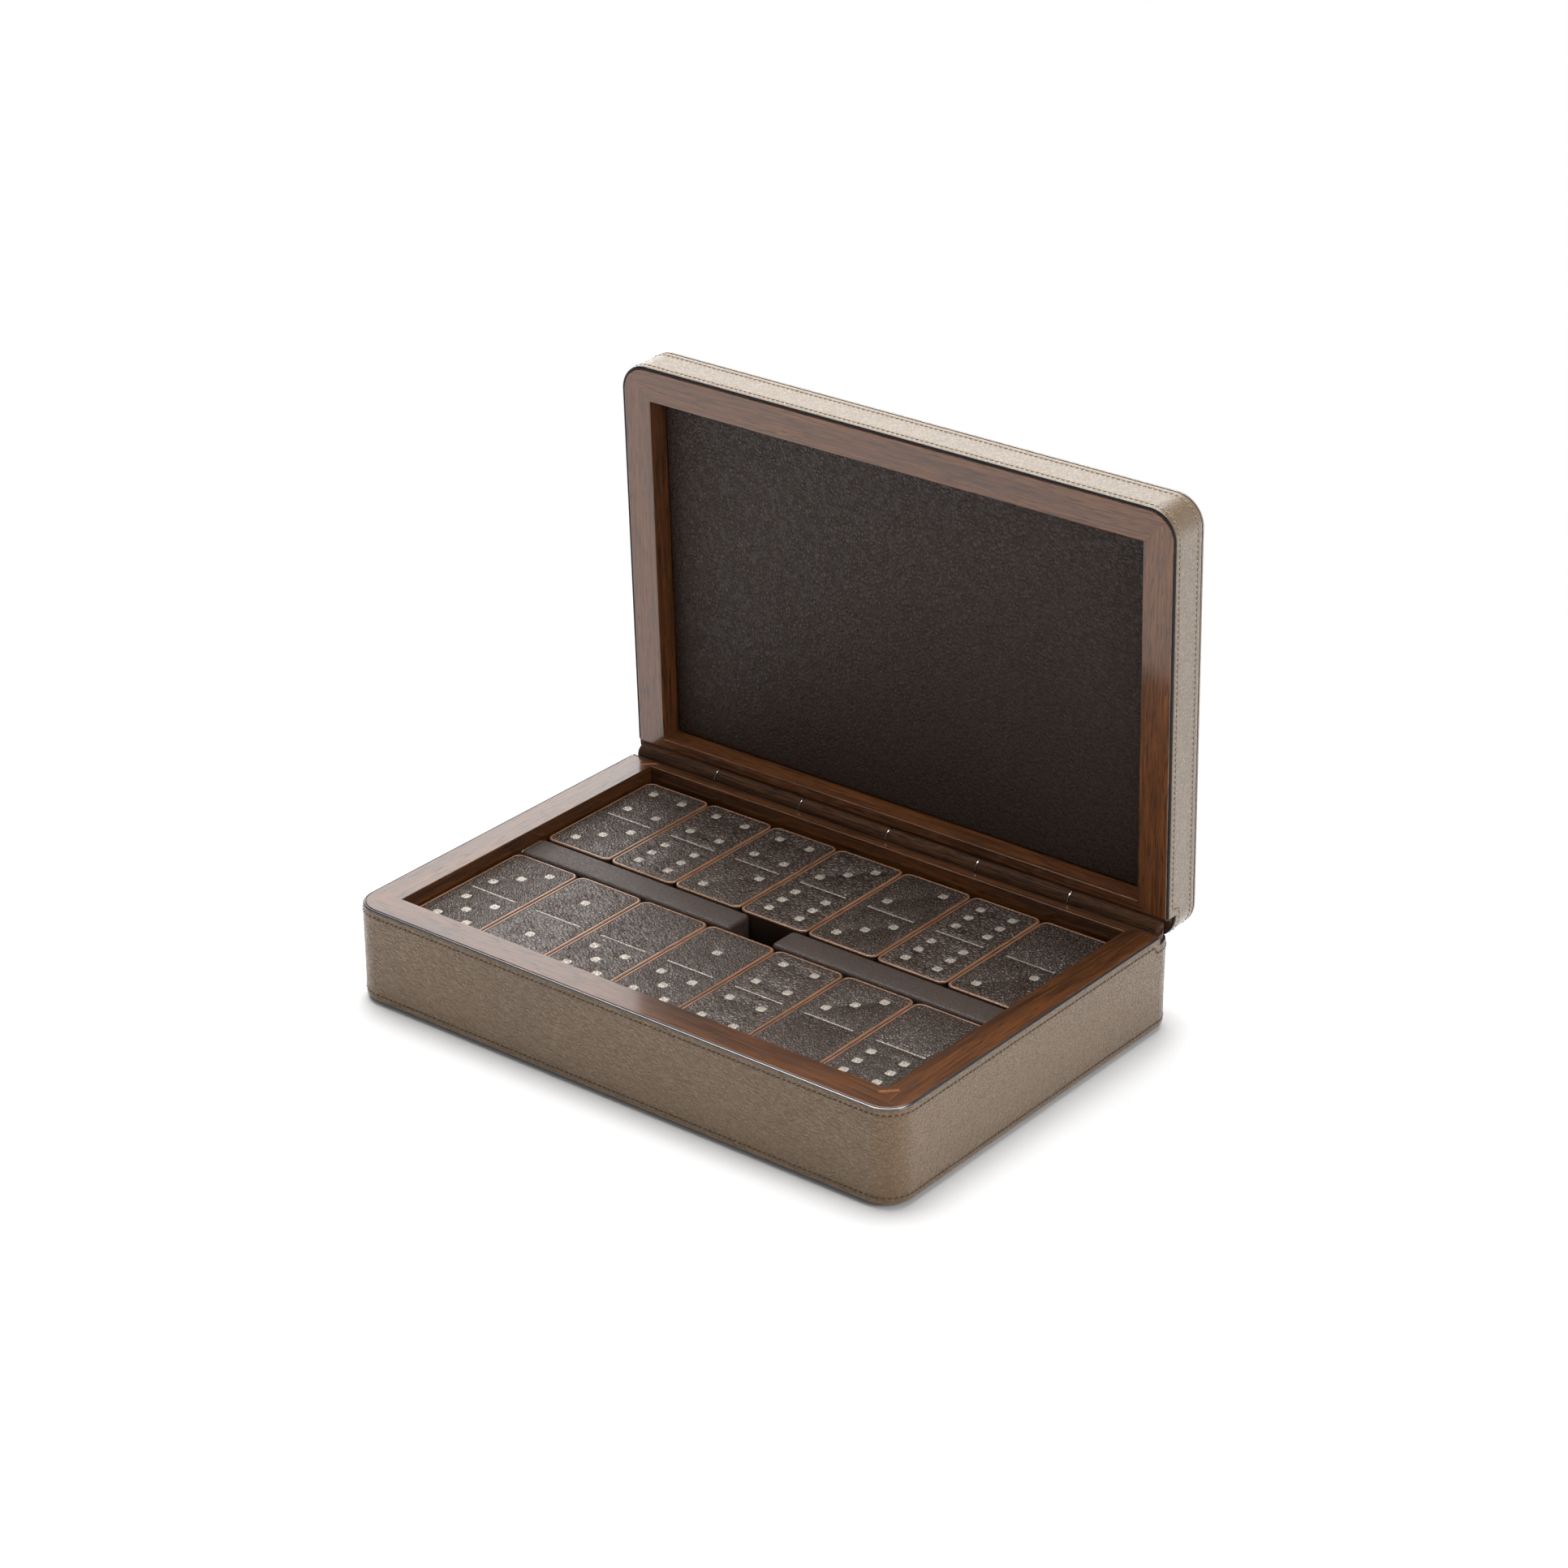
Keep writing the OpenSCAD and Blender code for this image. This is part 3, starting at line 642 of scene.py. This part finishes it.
# %% Band maker
def band_mesh(lower, upper, rows_of_holes):
    """Closed leather strip between two edge paths of (lengths, heights)."""
    even = np.arange(1500) * ROUND / 1500
    beside_step = np.concatenate([np.arange(-0.0045, 0.0046, 0.00045),
                                  (-0.00005, -0.00002, 0.00002, 0.00005)])
    extra = np.concatenate([turn + beside_step for turn in (step_s, ROUND - step_s)])
    s = np.unique(np.round(np.concatenate([even, extra]), 7))
    lo, hi = np.interp(s, *lower), np.interp(s, *upper)
    _, flat = walk(s)
    outward = np.column_stack([flat, np.zeros(len(s))])
    lip = [(0.00006 - THICK, 0.0), (-0.0006, 0.0), (-0.00038, 0.0001), (-0.00026, 0.0003),
           (-0.00015, 0.0006), (-0.00005, 0.00095), (0, 0.0013)]
    face = [0.0017, 0.0021, 0.0024, 0.0027, 0.003, 0.0032, 0.00335, 0.0035, 0.0037, 0.004,
            0.0044, 0.0051, 0.006]
    rows = [on_case(s, o, lo + d) for o, d in lip]
    rows += [on_case(s, 0, lo + d) for d in face]
    middle = (0.2, 0.4, 0.6, 0.8)
    rows += [on_case(s, 0, lo + 0.006 + (hi - lo - 0.012) * f) for f in middle]
    rows += [on_case(s, 0, hi - d) for d in reversed(face)]
    rows += [on_case(s, o, hi - d) for o, d in reversed(lip)]
    points = np.concatenate(rows)
    faces = grid_faces(len(rows), len(s), True)
    first, last = len(lip) * len(s), (len(rows) - len(lip)) * len(s)
    shown = points[first:last]
    shown_outward = np.tile(outward, (len(rows) - 2 * len(lip), 1))
    for holes in rows_of_holes:
        press_in(shown, shown_outward, holes)
    points[first:last] = shown
    return points, faces


def bead_mesh(path, toward):
    """Painted edge: a low bead that follows a cut edge of the leather. Each point of its
    section is so far proud of the case, and so far beyond the cut."""
    s, z = resample(path, 0.0004)
    for _ in range(2):
        z = (np.roll(z, 1) + 2 * z + np.roll(z, -1)) / 4
    ds, dz = directions(s, z)
    place, flat = walk(s)
    outward = np.column_stack([flat, np.zeros(len(s))])
    along = np.column_stack([-flat[:, 1], flat[:, 0], np.zeros(len(s))])
    away = (along * -dz[:, None] + np.array([0, 0, 1.0]) * ds[:, None]) * -toward
    centre = np.column_stack([place, z])
    section = [(-0.00030, -0.00042), (-0.00018, -0.00036), (-0.00015, -0.00024),
               (-0.00018, -0.00010), (-0.00032, 0.00003), (-0.00058, 0.00019),
               (-0.00084, 0.00032), (-0.00108, 0.00039), (-0.00126, 0.00024),
               (-0.00134, -0.00002), (-0.00134, -0.00042)]
    rows = [centre + outward * o + away * a for o, a in section]
    return np.concatenate(rows), grid_faces(len(rows), len(s), True)


# %% Base leather
EDGE_GAP, PAINT = 0.00035, 0.00015  # leather below the rim, and paint on its cut edge
MARGIN = 0.0033  # from the edge of the leather to the stitches
Z_PART, BASE_STEP = 0.052, 0.0043
base_cut = edge_path(Z_PART - EDGE_GAP - PAINT, BASE_STEP + PAINT, -1)
base_row = edge_path(Z_PART - EDGE_GAP, BASE_STEP, -1, MARGIN)


def level(z):
    """A straight path all the way round at one height."""
    return np.array([0, ROUND]), np.array([z, z])


base_rows = [row_on_case(level(low.z + MARGIN), 0), row_on_case(base_row, 0)]
points, faces = band_mesh(level(low.z), base_cut, [r[0] for r in base_rows])
base_skin = make_piece("base_leather_band", points, faces, taupe, "base", "taupe_leather", 50)
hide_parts("base_leather")
print("base leather:", len(faces), "faces")

# %% Base stitches and painted edge
for name, row in zip(("base_lower_stitches", "base_upper_stitches"), base_rows):
    make_piece(name, *stitch_mesh(*row), thread, "base", "thread", 60)
make_piece("base_leather_edge", *bead_mesh(base_cut, -1), edge_paint, "base", "edge_paint", 60)
print("stitches in the base:", sum(len(r[0]) for r in base_rows))

# %% [markdown]
# ## Lid
# The lid is easiest to think of closed, lying on the base, with the same outline. So its pieces
# are built closed and then turned about the hinge axis to where the open lid stands.

# %% Opening the lid
OPENING = (Matrix.Translation((0, AXIS_Y, AXIS_Z)) @ Matrix.Rotation(-OPEN, 4, "X")
           @ Matrix.Translation((0, -AXIS_Y, -AXIS_Z)))
TURN = np.array(OPENING)


def opened(points):
    return points @ TURN[:3, :3].T + TURN[:3, 3]


print("the lid stands open at", round(math.degrees(OPEN), 1), "degrees")

# %% Lid leather
Z_LID, Z_TOP, LID_STEP = 0.0522, 0.0758, 0.0064
lid_cut = edge_path(Z_LID + EDGE_GAP + PAINT, LID_STEP + PAINT, 1)
lid_row = edge_path(Z_LID + EDGE_GAP, LID_STEP, 1, MARGIN)
lid_rows = [row_on_case(lid_row, 0), row_on_case(level(Z_TOP - THICK - MARGIN), 0)]
points, faces = band_mesh(lid_cut, level(Z_TOP - THICK), [r[0] for r in lid_rows])
lid_skin = make_piece("lid_leather_band", opened(points), faces, lit_taupe_copy, "lid",
                      "taupe_leather", 50)
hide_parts("lid_leather")
print("lid leather:", len(faces), "faces")

# %% Lid stitches and painted edge
for name, row in zip(("lid_inner_stitches", "lid_outer_stitches"), lid_rows):
    points, faces = stitch_mesh(*row)
    make_piece(name, opened(points), faces, lid_thread, "lid", "thread", 60)
points, faces = bead_mesh(lid_cut, 1)
make_piece("lid_leather_edge", opened(points), faces, dull_paint, "lid", "edge_paint", 60)
print("stitches in the lid:", sum(len(r[0]) for r in lid_rows))

# %% [markdown]
# ## Slabs with soft edges
# The lid's outer leather, its lining, the divider bars and the dominoes are all slabs with round
# corners. Each is a stack of rings: every ring is a rounded rectangle, drawn in by so much and at
# such a height, with the same number of points, so that rings join with plain quads.

# %% Ring maker
def ring(half_x, half_y, radius, per_corner=8, along_x=1, along_y=1):
    """Points of a rounded rectangle, counter-clockwise, with extra points on its sides."""
    points = []
    centres = [(1, -1, -90), (1, 1, 0), (-1, 1, 90), (-1, -1, 180)]
    for index, (sx, sy, start) in enumerate(centres):
        centre = np.array([sx * (half_x - radius), sy * (half_y - radius)])
        for k in range(per_corner + 1):
            angle = math.radians(start + 90 * k / per_corner)
            points.append(centre + radius * np.array([math.cos(angle), math.sin(angle)]))
        following = centres[(index + 1) % 4]
        after = np.array([following[0] * (half_x - radius), following[1] * (half_y - radius)])
        angle = math.radians(following[2])
        after = after + radius * np.array([math.cos(angle), math.sin(angle)])
        count = along_y if index % 2 == 0 else along_x
        points += [points[-1] + (after - points[-1]) * k / count for k in range(1, count)]
    return np.array(points)


def slab(half_x, half_y, radius, profile, **spread):
    """Closed slab. The profile is a list of (drawn in, height) from the bottom to the top."""
    rings = []
    for inset, z in profile:
        flat = ring(half_x - inset, half_y - inset, max(radius - inset, 0.0003), **spread)
        rings.append(np.column_stack([flat, np.full(len(flat), z)]))
    size = len(rings[0])
    faces = grid_faces(len(rings), size, False)
    faces.append(tuple(range(size))[::-1])
    faces.append(tuple(range((len(rings) - 1) * size, len(rings) * size)))
    return np.concatenate(rings), faces


def rolled(radius, top, steps=5, start=0.0):
    """Profile of an edge that rolls over to a flat top."""
    return [(start + radius * (1 - math.cos(a)), top - radius * (1 - math.sin(a)))
            for a in np.linspace(0, math.pi / 2, steps + 1)]


# %% Outer leather of the lid
TOP_EDGE = 0.0005
face_rings = [0.0011, 0.0019, 0.0024, 0.00275, 0.003, 0.0032, 0.00335, 0.0035, 0.0037, 0.004,
              0.0044, 0.0051, 0.0065, 0.009]
profile = [(0.0, Z_TOP - THICK)] + rolled(TOP_EDGE, Z_TOP)
profile += [(inset, Z_TOP) for inset in face_rings]
points, faces = slab(HALF_X, HALF_Y, CORNER, profile, per_corner=32, along_x=412, along_y=272)

# %% Stitches round the lid's face
path = ring(HALF_X - MARGIN, HALF_Y - MARGIN, CORNER - MARGIN, 16)
step = np.linalg.norm(np.roll(path, -1, 0) - path, axis=1)
travelled = np.concatenate([[0], np.cumsum(step)])
count = round(travelled[-1] / STITCH)
at = np.arange(count) * travelled[-1] / count
closed = np.concatenate([path, path[:1]])
holes = np.column_stack([np.interp(at, travelled, closed[:, 0]),
                         np.interp(at, travelled, closed[:, 1]), np.full(count, Z_TOP)])
skyward = np.tile([0, 0, 1.0], (count, 1))
along = np.roll(holes, -1, 0) - np.roll(holes, 1, 0)
across = np.cross(skyward, along / np.linalg.norm(along, axis=1, keepdims=True))
on_top = points[:, 2] > Z_TOP - 0.00001
top_points = points[on_top]
press_in(top_points, np.tile([0, 0, 1.0], (len(top_points), 1)), holes)
points[on_top] = top_points
lid_face = make_piece("lid_outer_leather", opened(points), faces, lit_taupe_copy, "lid",
                      "taupe_leather", 50)
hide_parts("lid_top_leather")
stitch_points, stitch_faces = stitch_mesh(holes, skyward, across)
make_piece("lid_face_stitches", opened(stitch_points), stitch_faces, lid_thread, "lid",
           "thread", 60)
print("stitches on the lid's face:", count)

# %% [markdown]
# ## Lining and divider bars
# The lid's lining is leather turned over a thin board, so its edges roll over and its middle
# stands a little proud. The two bars that part the dominoes are made alike, with smoother leather.

# %% Lid lining
low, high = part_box("lid_lining_leather")
FRONT, REAR, IN_X = -0.0956, 0.0928, 0.1471  # the hollow that the lid's rails leave
LINING_GAP, LINING_Z, LINING_BACK = 0.0003, 0.0636, 0.0684
half_x, half_y = IN_X - LINING_GAP, (REAR - FRONT) / 2 - LINING_GAP
profile = [(inset, -z) for inset, z in
           [(0.0, -LINING_BACK)] + rolled(0.0012, -LINING_Z)
           + [(0.004, -LINING_Z + 0.0001), (0.012, -LINING_Z + 0.0003),
              (0.03, -LINING_Z + 0.0004), (0.06, -LINING_Z + 0.00045)]]
points, faces = slab(half_x, half_y, 0.0024, profile, per_corner=6)
points[:, 1] += (FRONT + REAR) / 2
lining = make_piece("lid_lining_skin", opened(points), faces, lining_leather, "lid",
                    "dark_leather", 40)
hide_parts("lid_lining_leather")

# %% Divider bars
for side in ("left", "right"):
    low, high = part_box("divider_leather_" + side)
    half_x, half_y = (high.x - low.x) / 2, (high.y - low.y) / 2
    profile = [(0.0, low.z)] + rolled(0.0022, high.z - 0.0002, 7)
    profile += [(0.004, high.z - 0.00006), (0.0065, high.z)]
    points, faces = slab(half_x, half_y, 0.003, profile, per_corner=8)
    points[:, :2] += ((low.x + high.x) / 2, (low.y + high.y) / 2)
    bar = make_piece("divider_bar_" + side, points, faces, bar_leather, "base", "bar_leather", 50)
    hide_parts("divider_leather_" + side)

# %% [markdown]
# ## Dominoes
# A domino is a walnut block with a leather face let into it. The spots and the line are pressed
# into the leather with hot foil. The face is a flat sheet with round cornered pits, which is a job
# for a constrained triangulation: it takes the outlines of sheet and pits and fills in between.

# %% Domino sizes
TILE_X, TILE_Y, TILE_Z, TILE_R = 0.0205, 0.041, 0.0154, 0.0046
RIM, SPOT, SPOT_R = 0.0015, 0.0023, 0.0013
SPOT_X, SPOT_Y, HALF_AT = 0.0094, 0.0104, 0.0203
PIT = 0.00015
GRID = {0: [], 1: [(0, 0)], 2: [(-1, -1), (1, 1)], 3: [(-1, -1), (0, 0), (1, 1)],
        4: [(-1, -1), (-1, 1), (1, -1), (1, 1)],
        5: [(-1, -1), (-1, 1), (0, 0), (1, -1), (1, 1)],
        6: [(-1, -1), (-1, 0), (-1, 1), (1, -1), (1, 0), (1, 1)]}
LINE_X, LINE_Y = 0.0142, 0.0005


def marks(pair):
    """Centre and half sizes of each pressed mark: the spots of both halves and the line."""
    found = [(0.0, 0.0, LINE_X, LINE_Y, 0.0003)]
    for number, middle in ((pair[0], HALF_AT), (pair[1], -HALF_AT)):
        found += [(i * SPOT_X, middle + j * SPOT_Y, SPOT, SPOT, SPOT_R) for i, j in GRID[number]]
    return found


# %% Domino body
def domino_body():
    """A block with eased edges, and a sunk ledge inside its rim where the leather lies."""
    easing = rolled(0.0008, TILE_Z)
    profile = [(inset, TILE_Z - height) for inset, height in reversed(easing)] + easing
    profile += [(RIM - 0.00022, TILE_Z), (RIM - 0.00006, TILE_Z - 0.00008),
                (RIM, TILE_Z - 0.00024), (RIM, TILE_Z - 0.0012)]
    return slab(TILE_X, TILE_Y, TILE_R, profile, per_corner=10)


# %% Domino leather face
def domino_face(pair):
    """A leather sheet with a pit for each mark. The top is filled in round the pits."""
    groove = RIM + 0.00012
    profile = [(groove, TILE_Z - 0.00115), (groove, TILE_Z - 0.00035)]
    profile += rolled(0.00035, TILE_Z, 3, groove)[1:]
    points, faces = slab(TILE_X, TILE_Y, TILE_R, profile, per_corner=10)
    size = len(ring(TILE_X, TILE_Y, TILE_R, 10))
    faces.pop()
    top = list(range(len(points) - size, len(points)))
    points = [tuple(p) for p in points]
    outlines, inner = [top], []
    for x, y, half_w, half_h, radius in marks(pair):
        lips = [(0.00010, 0.0), (0.00003, PIT * 0.35), (-0.00004, PIT * 0.9), (-0.00009, PIT)]
        rings = []
        for grow, depth in lips:
            flat = ring(half_w + grow, half_h + grow, max(radius + grow, 0.00006), 4)
            rings.append(list(range(len(points), len(points) + len(flat))))
            points += [(x + px, y + py, TILE_Z - depth) for px, py in flat]
        outlines.append(rings[0])
        inner.append((x, y, half_w, half_h))
        for upper, lower in zip(rings, rings[1:]):
            count = len(upper)
            faces += [(upper[k], upper[(k + 1) % count], lower[(k + 1) % count], lower[k])
                      for k in range(count)]
        faces.append(tuple(rings[-1]))
    index = [i for outline in outlines for i in outline]
    flat = [Vector(points[i][:2]) for i in index]
    edges, start = [], 0
    for outline in outlines:
        count = len(outline)
        edges += [(start + k, start + (k + 1) % count) for k in range(count)]
        start += count
    placed, _, triangles, origins, _, _ = delaunay_2d_cdt(flat, edges, [], 1, 1e-9)
    back_to = [index[o[0]] for o in origins]
    for triangle in triangles:
        middle = sum((placed[i] for i in triangle), Vector((0, 0))) / len(triangle)
        in_mark = any(abs(middle.x - x) < w and abs(middle.y - y) < h for x, y, w, h in inner)
        if not in_mark:
            faces.append(tuple(back_to[i] for i in triangle))
    return points, faces


# %% Domino foil
def domino_foil(pair):
    """A thin pad of foil on the floor of each pit."""
    points, faces = [], []
    for x, y, half_w, half_h, radius in marks(pair):
        part, sides = slab(half_w, half_h, radius, [
            (0.00008, TILE_Z - PIT - 0.00002), (0.00005, TILE_Z - PIT * 0.8),
            (0.00012, TILE_Z - PIT + 0.00004)], per_corner=4)
        start = len(points)
        points += [(x + px, y + py, pz) for px, py, pz in part]
        faces += [tuple(i + start for i in face) for face in sides]
    return points, faces


# %% Domino walnut, pale on the rim, with painted shade darkening its sides
domino_wood, tree, shader = material(
    "domino_walnut", Coat_Weight=0.7, Coat_Roughness=0.12, Specular_Tint=(1.0, 0.85, 0.76, 1.0))
grain = use(tree, wood_grain, {
    "Vector": grain_space(tree, ALONG_Y), "Pale": shade(150, 110, 84), "Dark": shade(104, 72, 52),
    "Figure": 1.6})
finish(tree, shader, grain, 0.00004, 0.6)
# Faces that don't look up are mixed towards a dark brown: painted shade for the shadow in the narrow
# slots between the blocks.
upness_for_side_shade = put(tree, "ShaderNodeSeparateXYZ",
             {0: put(tree, "ShaderNodeTexCoord").outputs["Normal"]}).outputs["Z"]
tree.links.new(mix(tree, ramp(tree, upness_for_side_shade, 0.05, 0.5), shade(44, 32, 25), grain["Color"]),
               shader.inputs["Base Color"])

# %% Lay out the dominoes
body_points, body_faces = domino_body()
tiles = sorted(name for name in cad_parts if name.startswith("domino_"))
for name in tiles:
    low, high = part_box(name)
    origin = np.array([(low.x + high.x) / 2, (low.y + high.y) / 2, low.z])
    pair = tuple(int(part) for part in name.split("_")[1:])
    block = make_piece(name + "_block", body_points + origin, body_faces, domino_wood, name,
                       "domino_walnut", 50)
    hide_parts(name)
    for part, maker, coat, slot in (("_face", domino_face, face_leather, "dark_leather"),
                                    ("_foil", domino_foil, foil, "foil")):
        points, faces = maker(pair)
        make_piece(name + part, np.array(points) + origin, faces, coat, name, slot, 40)
print("dominoes:", len(tiles))

# %% [markdown]
# ## Studio
# The box stands on white in soft light from above. The floor's white comes from its own colour,
# helped by a glow that the camera sees away from the box, so it keeps the shadow of the box. The
# same glow is brighter still in reflections: a painted reflection of a floor brighter than it is,
# which lights up the lacquer. A low soft box behind on the left is what the lacquered rims mirror.
# Reflections see a pale wall behind and a dark studio in front, as gloss shows nothing but what
# surrounds it.

# %% Floor
floor_mesh = bpy.data.meshes.new("floor")
floor_mesh.from_pydata([(-6, -6, 0), (6, -6, 0), (6, 6, 0), (-6, 6, 0)], [], [(0, 1, 2, 3)])
floor = bpy.data.objects.new("floor", floor_mesh)
scene.collection.objects.link(floor)
print("floor:", len(floor_mesh.vertices), "corners")

# %% Floor paint and glow
# GLOW_MIRRORED makes the floor glow brighter in reflections than the camera sees it: a painted
# reflection that brightens the lacquer and the painted edges.
GLOW_NEAR, GLOW_FAR, GLOW_MIRRORED = 0.78, 0.22, 0.8
floor_paint, tree, shader = material("floor_paint", Base_Color=(0.92, 0.92, 0.92, 1),
                                     Roughness=0.9)
rays = put(tree, "ShaderNodeLightPath")
glossy = rays.outputs["Is Glossy Ray"]
glow = put(tree, "ShaderNodeEmission", {
    "Color": (1, 1, 1, 1), "Strength": calc(tree, "MULTIPLY_ADD", glossy, GLOW_MIRRORED, 1.0)})
spot_on_floor = put(tree, "ShaderNodeVectorMath", {
    0: put(tree, "ShaderNodeTexCoord").outputs["Object"]}, operation="ABSOLUTE").outputs[0]
beyond = put(tree, "ShaderNodeSeparateXYZ", {
    0: vector_calc(tree, "SUBTRACT", spot_on_floor, (HALF_X, HALF_Y, 0))}).outputs
clear = calc(tree, "MAXIMUM", beyond["X"], beyond["Y"])
near = ramp(tree, clear, 0.0, 0.035, 0.0, GLOW_NEAR)
far = ramp(tree, clear, 0.1, 0.6, 0.0, GLOW_FAR)
seen = calc(tree, "MAXIMUM", rays.outputs["Is Camera Ray"], glossy)
lift = calc(tree, "MULTIPLY", seen, calc(tree, "ADD", near, far))
blended = put(tree, "ShaderNodeMixShader", {0: lift, 1: shader.outputs[0], 2: glow.outputs[0]})
tree.links.new(blended.outputs[0], tree.nodes["Material Output"].inputs["Surface"])
floor_mesh.materials.append(floor_paint)
print("nodes in the floor:", len(tree.nodes))

# %% Room
world = bpy.data.worlds.new("room")
world.use_nodes = True
scene.world = world
tree = world.node_tree
rays = put(tree, "ShaderNodeLightPath")
toward = put(tree, "ShaderNodeSeparateXYZ",
             {0: put(tree, "ShaderNodeTexCoord").outputs["Generated"]}).outputs
ROOM_LIGHT, DARK_STUDIO, PALE_WALL = 0.26, 0.08, 1.0
wall = calc(tree, "MULTIPLY", ramp(tree, toward["Y"], -0.1, 0.4),
            ramp(tree, toward["Z"], 0.3, 0.7, 1.0, 0.0))
in_gloss = calc(tree, "MULTIPLY_ADD", wall, PALE_WALL - DARK_STUDIO, DARK_STUDIO)
light = put(tree, "ShaderNodeMix", {0: rays.outputs["Is Glossy Ray"], 2: ROOM_LIGHT, 3: in_gloss})
shown = put(tree, "ShaderNodeMix", {0: rays.outputs["Is Camera Ray"], 2: light.outputs[0], 3: 1.0})
tree.links.new(shown.outputs[0], tree.nodes["Background"].inputs["Strength"])
tree.nodes["Background"].inputs["Color"].default_value = (1, 1, 1, 1)
print("room light:", ROOM_LIGHT)


# %% Soft boxes
def softbox(name, place, target, width, height, power):
    """A rectangle of light at a place, aimed at a target, that the camera doesn't see."""
    lamp = bpy.data.lights.new(name, "AREA")
    lamp.shape = "RECTANGLE"
    lamp.size, lamp.size_y, lamp.energy = width, height, power
    holder = bpy.data.objects.new(name, lamp)
    scene.collection.objects.link(holder)
    aim_at = Vector(target) - Vector(place)
    holder.location = place
    holder.rotation_mode = "QUATERNION"
    holder.rotation_quaternion = aim_at.to_track_quat("-Z", "Y")
    holder.visible_camera = False
    print("soft box", name, "at", power, "W")


softbox("overhead", (-0.22, 0.22, 1.3), (0, 0, 0.08), 1.3, 1.0, 27)
softbox("behind_left", (-0.89, 1.13, 0.75), (0, 0, 0.05), 1.4, 1.2, 10)
softbox("right_side", (0.95, -0.1, 0.5), (0, 0, 0.1), 0.4, 0.4, 3.2)
softbox("front_fill", (1.3, -1.1, 0.9), (0, 0, 0.1), 1.0, 1.0, 2)
scene.view_settings.view_transform = "Standard"
